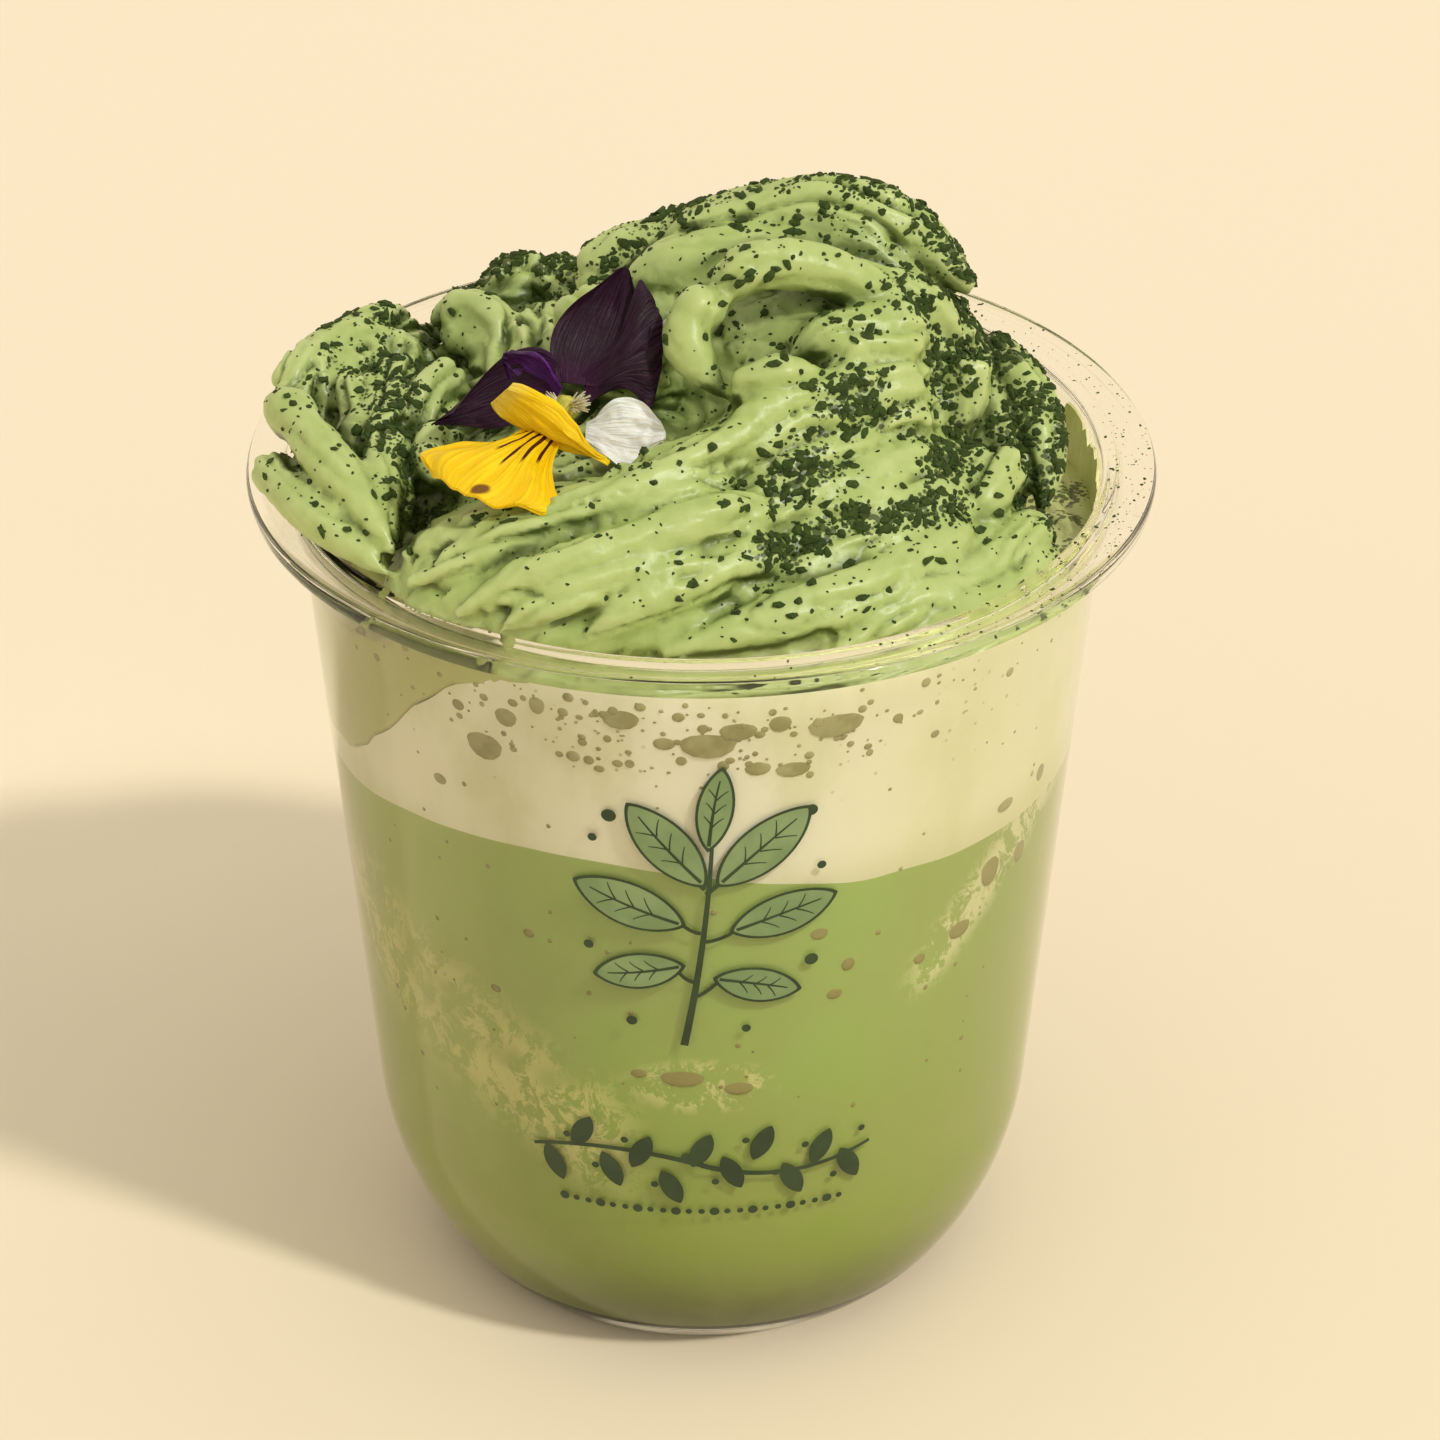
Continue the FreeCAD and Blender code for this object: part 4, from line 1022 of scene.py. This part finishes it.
def add_leaf(bm, at, long, wide, turn, grow=0.0):
    """A pointed leaf as one flat face, seen from the front, with its middle at (across, up)."""
    rim = bmesh.ops.create_circle(bm, segments=44, radius=1.0, cap_ends=True)["verts"]
    for v in rim:
        v.co.y *= max(0.0, 1 - v.co.x ** 2) ** 0.28
    bmesh.ops.scale(bm, verts=rim, vec=(long + grow * 1.7, wide + grow, 1))
    stand_up(bm, rim, at, turn)


def stand_up(bm, verts, at, turn):
    """Turns a flat shape in its own plane, then stands it up facing the front at a place."""
    turned_flat = Matrix.Rotation(math.radians(turn), 4, "Z")
    upright = Matrix.Rotation(math.radians(90), 4, "X") @ turned_flat
    bmesh.ops.transform(bm, verts=verts, matrix=Matrix.Translation((at[0], 0, at[1])) @ upright)


def add_line(bm, start, middle, end, first, last):
    """A brush line along a parabola, as wide as given at its ends."""
    flat = [Vector((p[0], 0, p[1])) for p in (start, middle, end)]
    line = through(*flat)
    steps = len(line) - 1
    grid = bmesh.ops.create_grid(bm, x_segments=steps, y_segments=1, size=1.0)["verts"]
    for v in grid:
        t = (v.co.x + 1) / 2
        k = min(steps - 1, int(round(t * steps)))
        ahead = (line[min(k + 1, steps)] - line[max(k - 1, 0)]).normalized()
        wide = (first + (last - first) * t) / 2
        v.co = line[int(round(t * steps))] + Vector((-ahead.z, 0, ahead.x)) * (v.co.y * wide)


def add_dot(bm, at, radius):
    dot = bmesh.ops.create_circle(bm, segments=20, radius=radius, cap_ends=True)["verts"]
    stand_up(bm, dot, at, 0)


def wrapped(bm, proud):
    """Bends flat shapes, as wide as they are on the wall, round the front of the cup."""
    for k in range(-20, 21):
        bmesh.ops.bisect_plane(bm, geom=bm.verts[:] + bm.edges[:] + bm.faces[:],
                               plane_co=(k * 1.05, 0, 0), plane_no=(1, 0, 0))
    for v in bm.verts:
        reach = wall_radius(v.co.z) + proud
        turn = v.co.x / wall_radius(v.co.z)
        v.co.x, v.co.y = math.sin(turn) * reach, -math.cos(turn) * reach
    for f in bm.faces:
        f.normal_update()
        if f.normal.dot(Vector((f.calc_center_median().x, f.calc_center_median().y, 0))) < 0:
            f.normal_flip()
    bmesh.ops.triangulate(bm, faces=bm.faces[:])
    return bm


sprig_leaves = [
    # middle as (across, up), half length, half width, turn in degrees
    ((1.5, 79.4), 5.0, 1.7, 82), ((-3.6, 74.6), 6.2, 2.5, 128), ((6.6, 74.2), 6.4, 2.6, 44),
    ((-7.6, 66.6), 6.0, 2.6, 158), ((8.8, 65.2), 5.6, 2.4, 18), ((-6.6, 57.8), 4.6, 2.1, 192),
    ((6.0, 56.0), 4.4, 2.0, -14),
]
ink = bmesh.new()
fill_ink = bmesh.new()
for at, long, wide, turn in sprig_leaves:
    add_leaf(ink, at, long, wide, turn, grow=0.30)
    add_leaf(fill_ink, at, long, wide, turn)
rib_ink = bmesh.new()
for at, long, wide, turn in sprig_leaves:
    way = Vector((math.cos(math.radians(turn)), math.sin(math.radians(turn))))
    across = Vector((-way.y, way.x))
    at = Vector(at)
    foot_end, point_end = at - way * long * 0.95, at + way * long * 0.75
    add_line(rib_ink, foot_end, at + across * 0.15, point_end, 0.42, 0.16)
    for k in (-0.45, -0.1, 0.25):
        for side in (-1, 1):
            begin = at + way * (k * long)
            end = begin + way * long * 0.26 + across * (side * wide * 0.62)
            add_line(rib_ink, begin, (begin + end) / 2 + way * 0.12, end, 0.2, 0.1)
add_line(ink, (-1.8, 48.0), (0.2, 62.0), (1.2, 75.5), 0.85, 0.4)
stalks = (((0.4, 69.0), (-1.0, 71.4)), ((0.5, 68.4), (2.6, 70.8)), ((0.0, 63.2), (-2.2, 64.6)),
          ((0.0, 62.0), (3.6, 63.4)), ((-0.6, 56.6), (-2.4, 58.0)), ((-0.8, 54.6), (1.9, 56.8)))
for low, high in stalks:
    middle = ((low[0] + high[0]) / 2, (low[1] + high[1]) / 2 - 0.3)
    add_line(ink, low, middle, high, 0.5, 0.4)
for at, radius in (((-9.6, 78.0), 0.8), ((-11.4, 74.9), 0.5), ((11.6, 78.4), 0.7),
                   ((12.8, 71.0), 0.5), ((-12.0, 60.6), 0.55), ((11.8, 58.6), 0.75),
                   ((-7.4, 51.0), 0.6), ((4.8, 50.2), 0.5)):
    add_dot(ink, at, radius)

# the garland: leaves to either side of a wavy line, over a row of dots
leaf_count, leaf_pitch = 11, 3.3
dot_count, dot_pitch = 23, 1.4
for k in range(leaf_count):
    across = (k - (leaf_count - 1) / 2) * leaf_pitch
    up = 31.2 + 1.1 * math.sin(k * 1.25)
    tall = 1 if k % 2 else -1
    add_leaf(ink, (across, up + tall * 2.1), 2.5, 1.15, tall * 66)
    add_dot(ink, (across + 1.5, up - tall * 2.3), 0.42)
add_line(ink, (-19, 31.0), (-9.5, 32.8), (0.2, 31.2), 0.45, 0.7)
add_line(ink, (0, 31.2), (9.5, 29.6), (19, 31.4), 0.7, 0.45)
for k in range(dot_count):
    add_dot(ink, ((k - (dot_count - 1) / 2) * dot_pitch, 24.6), 0.36 if k % 3 else 0.55)

ink_mat = Shader("dark_ink", roughness=0.4)
ink_mat.colour(ink_mat.mottled(tone(30, 52, 20), tone(42, 66, 30), 4, 3.0))
fill_mat = Shader("leaf_ink", roughness=0.42)
fill_mat.colour(fill_mat.mottled(tone(118, 142, 92), tone(136, 158, 106), 6, 3.0))
for name, shapes, proud, mat in (("print_outlines", ink, 0.04, ink_mat),
                                 ("print_leaf_fills", fill_ink, 0.055, fill_mat),
                                 ("print_ribs", rib_ink, 0.07, ink_mat)):
    piece(name, wrapped(shapes, proud), mat.material, smooth=False)

# --- Floor and light ---------------------------------------------------------------------------
# A pale paper sweep, one lamp high at the right front, and an even warm fill from all round.

bm = bmesh.new()
bmesh.ops.create_grid(bm, x_segments=4, y_segments=4, size=3.0)
mesh = bpy.data.meshes.new("paper_floor")
bm.to_mesh(mesh)
bm.free()
floor = bpy.data.objects.new("paper_floor", mesh)
scene.collection.objects.link(floor)
paper = Shader("pale_paper", roughness=0.9)
paper.colour(paper.blend(paper.noise(400, 2.0), tone(246, 229, 198), tone(249, 232, 201)))
mesh.materials.append(paper.material)

world = bpy.data.worlds.new("studio")
scene.world = world
world.use_nodes = True
nodes, link = world.node_tree.nodes, world.node_tree.links.new
sky = nodes["Background"]
sky.inputs["Color"].default_value = (1.0, 0.965, 0.89, 1)
sky.inputs["Strength"].default_value = 0.70
backdrop = nodes.new("ShaderNodeBackground")
backdrop.inputs["Color"].default_value = tone(250, 231, 199)
rays = nodes.new("ShaderNodeLightPath")
seen = rays.outputs["Is Camera Ray"]
for kind in ("Is Transmission Ray", "Is Glossy Ray"):
    added = nodes.new("ShaderNodeMath")
    added.use_clamp = True
    link(seen, added.inputs[0])
    link(rays.outputs[kind], added.inputs[1])
    seen = added.outputs[0]
mix = nodes.new("ShaderNodeMixShader")
link(seen, mix.inputs[0])
link(sky.outputs[0], mix.inputs[1])
link(backdrop.outputs[0], mix.inputs[2])
link(mix.outputs[0], nodes["World Output"].inputs["Surface"])

lamp = bpy.data.lights.new("key", "SUN")
lamp.energy = 1.42
lamp.angle = math.radians(4.5)
lamp.color = (1.0, 0.99, 0.96)
key = bpy.data.objects.new("key", lamp)
scene.collection.objects.link(key)
key.rotation_euler = Vector((67, -49, 98)).to_track_quat("Z", "Y").to_euler()

# --- Camera ------------------------------------------------------------------------------------
# A long lens half a metre in front, looking down on the cream at about thirty degrees, so that
# the mouth of the cup shows as a flat oval and the wall runs nearly straight.

lens = bpy.data.cameras.new("camera")
lens.lens = 137.02
lens.sensor_width = 36.0
lens.clip_start = 0.01
camera = bpy.data.objects.new("camera", lens)
scene.collection.objects.link(camera)
camera.location = (0.002, -0.520, 0.3801)
camera.rotation_euler = (math.radians(90 - 31.248), 0, 0)
scene.camera = camera
scene.view_settings.view_transform = "Standard"
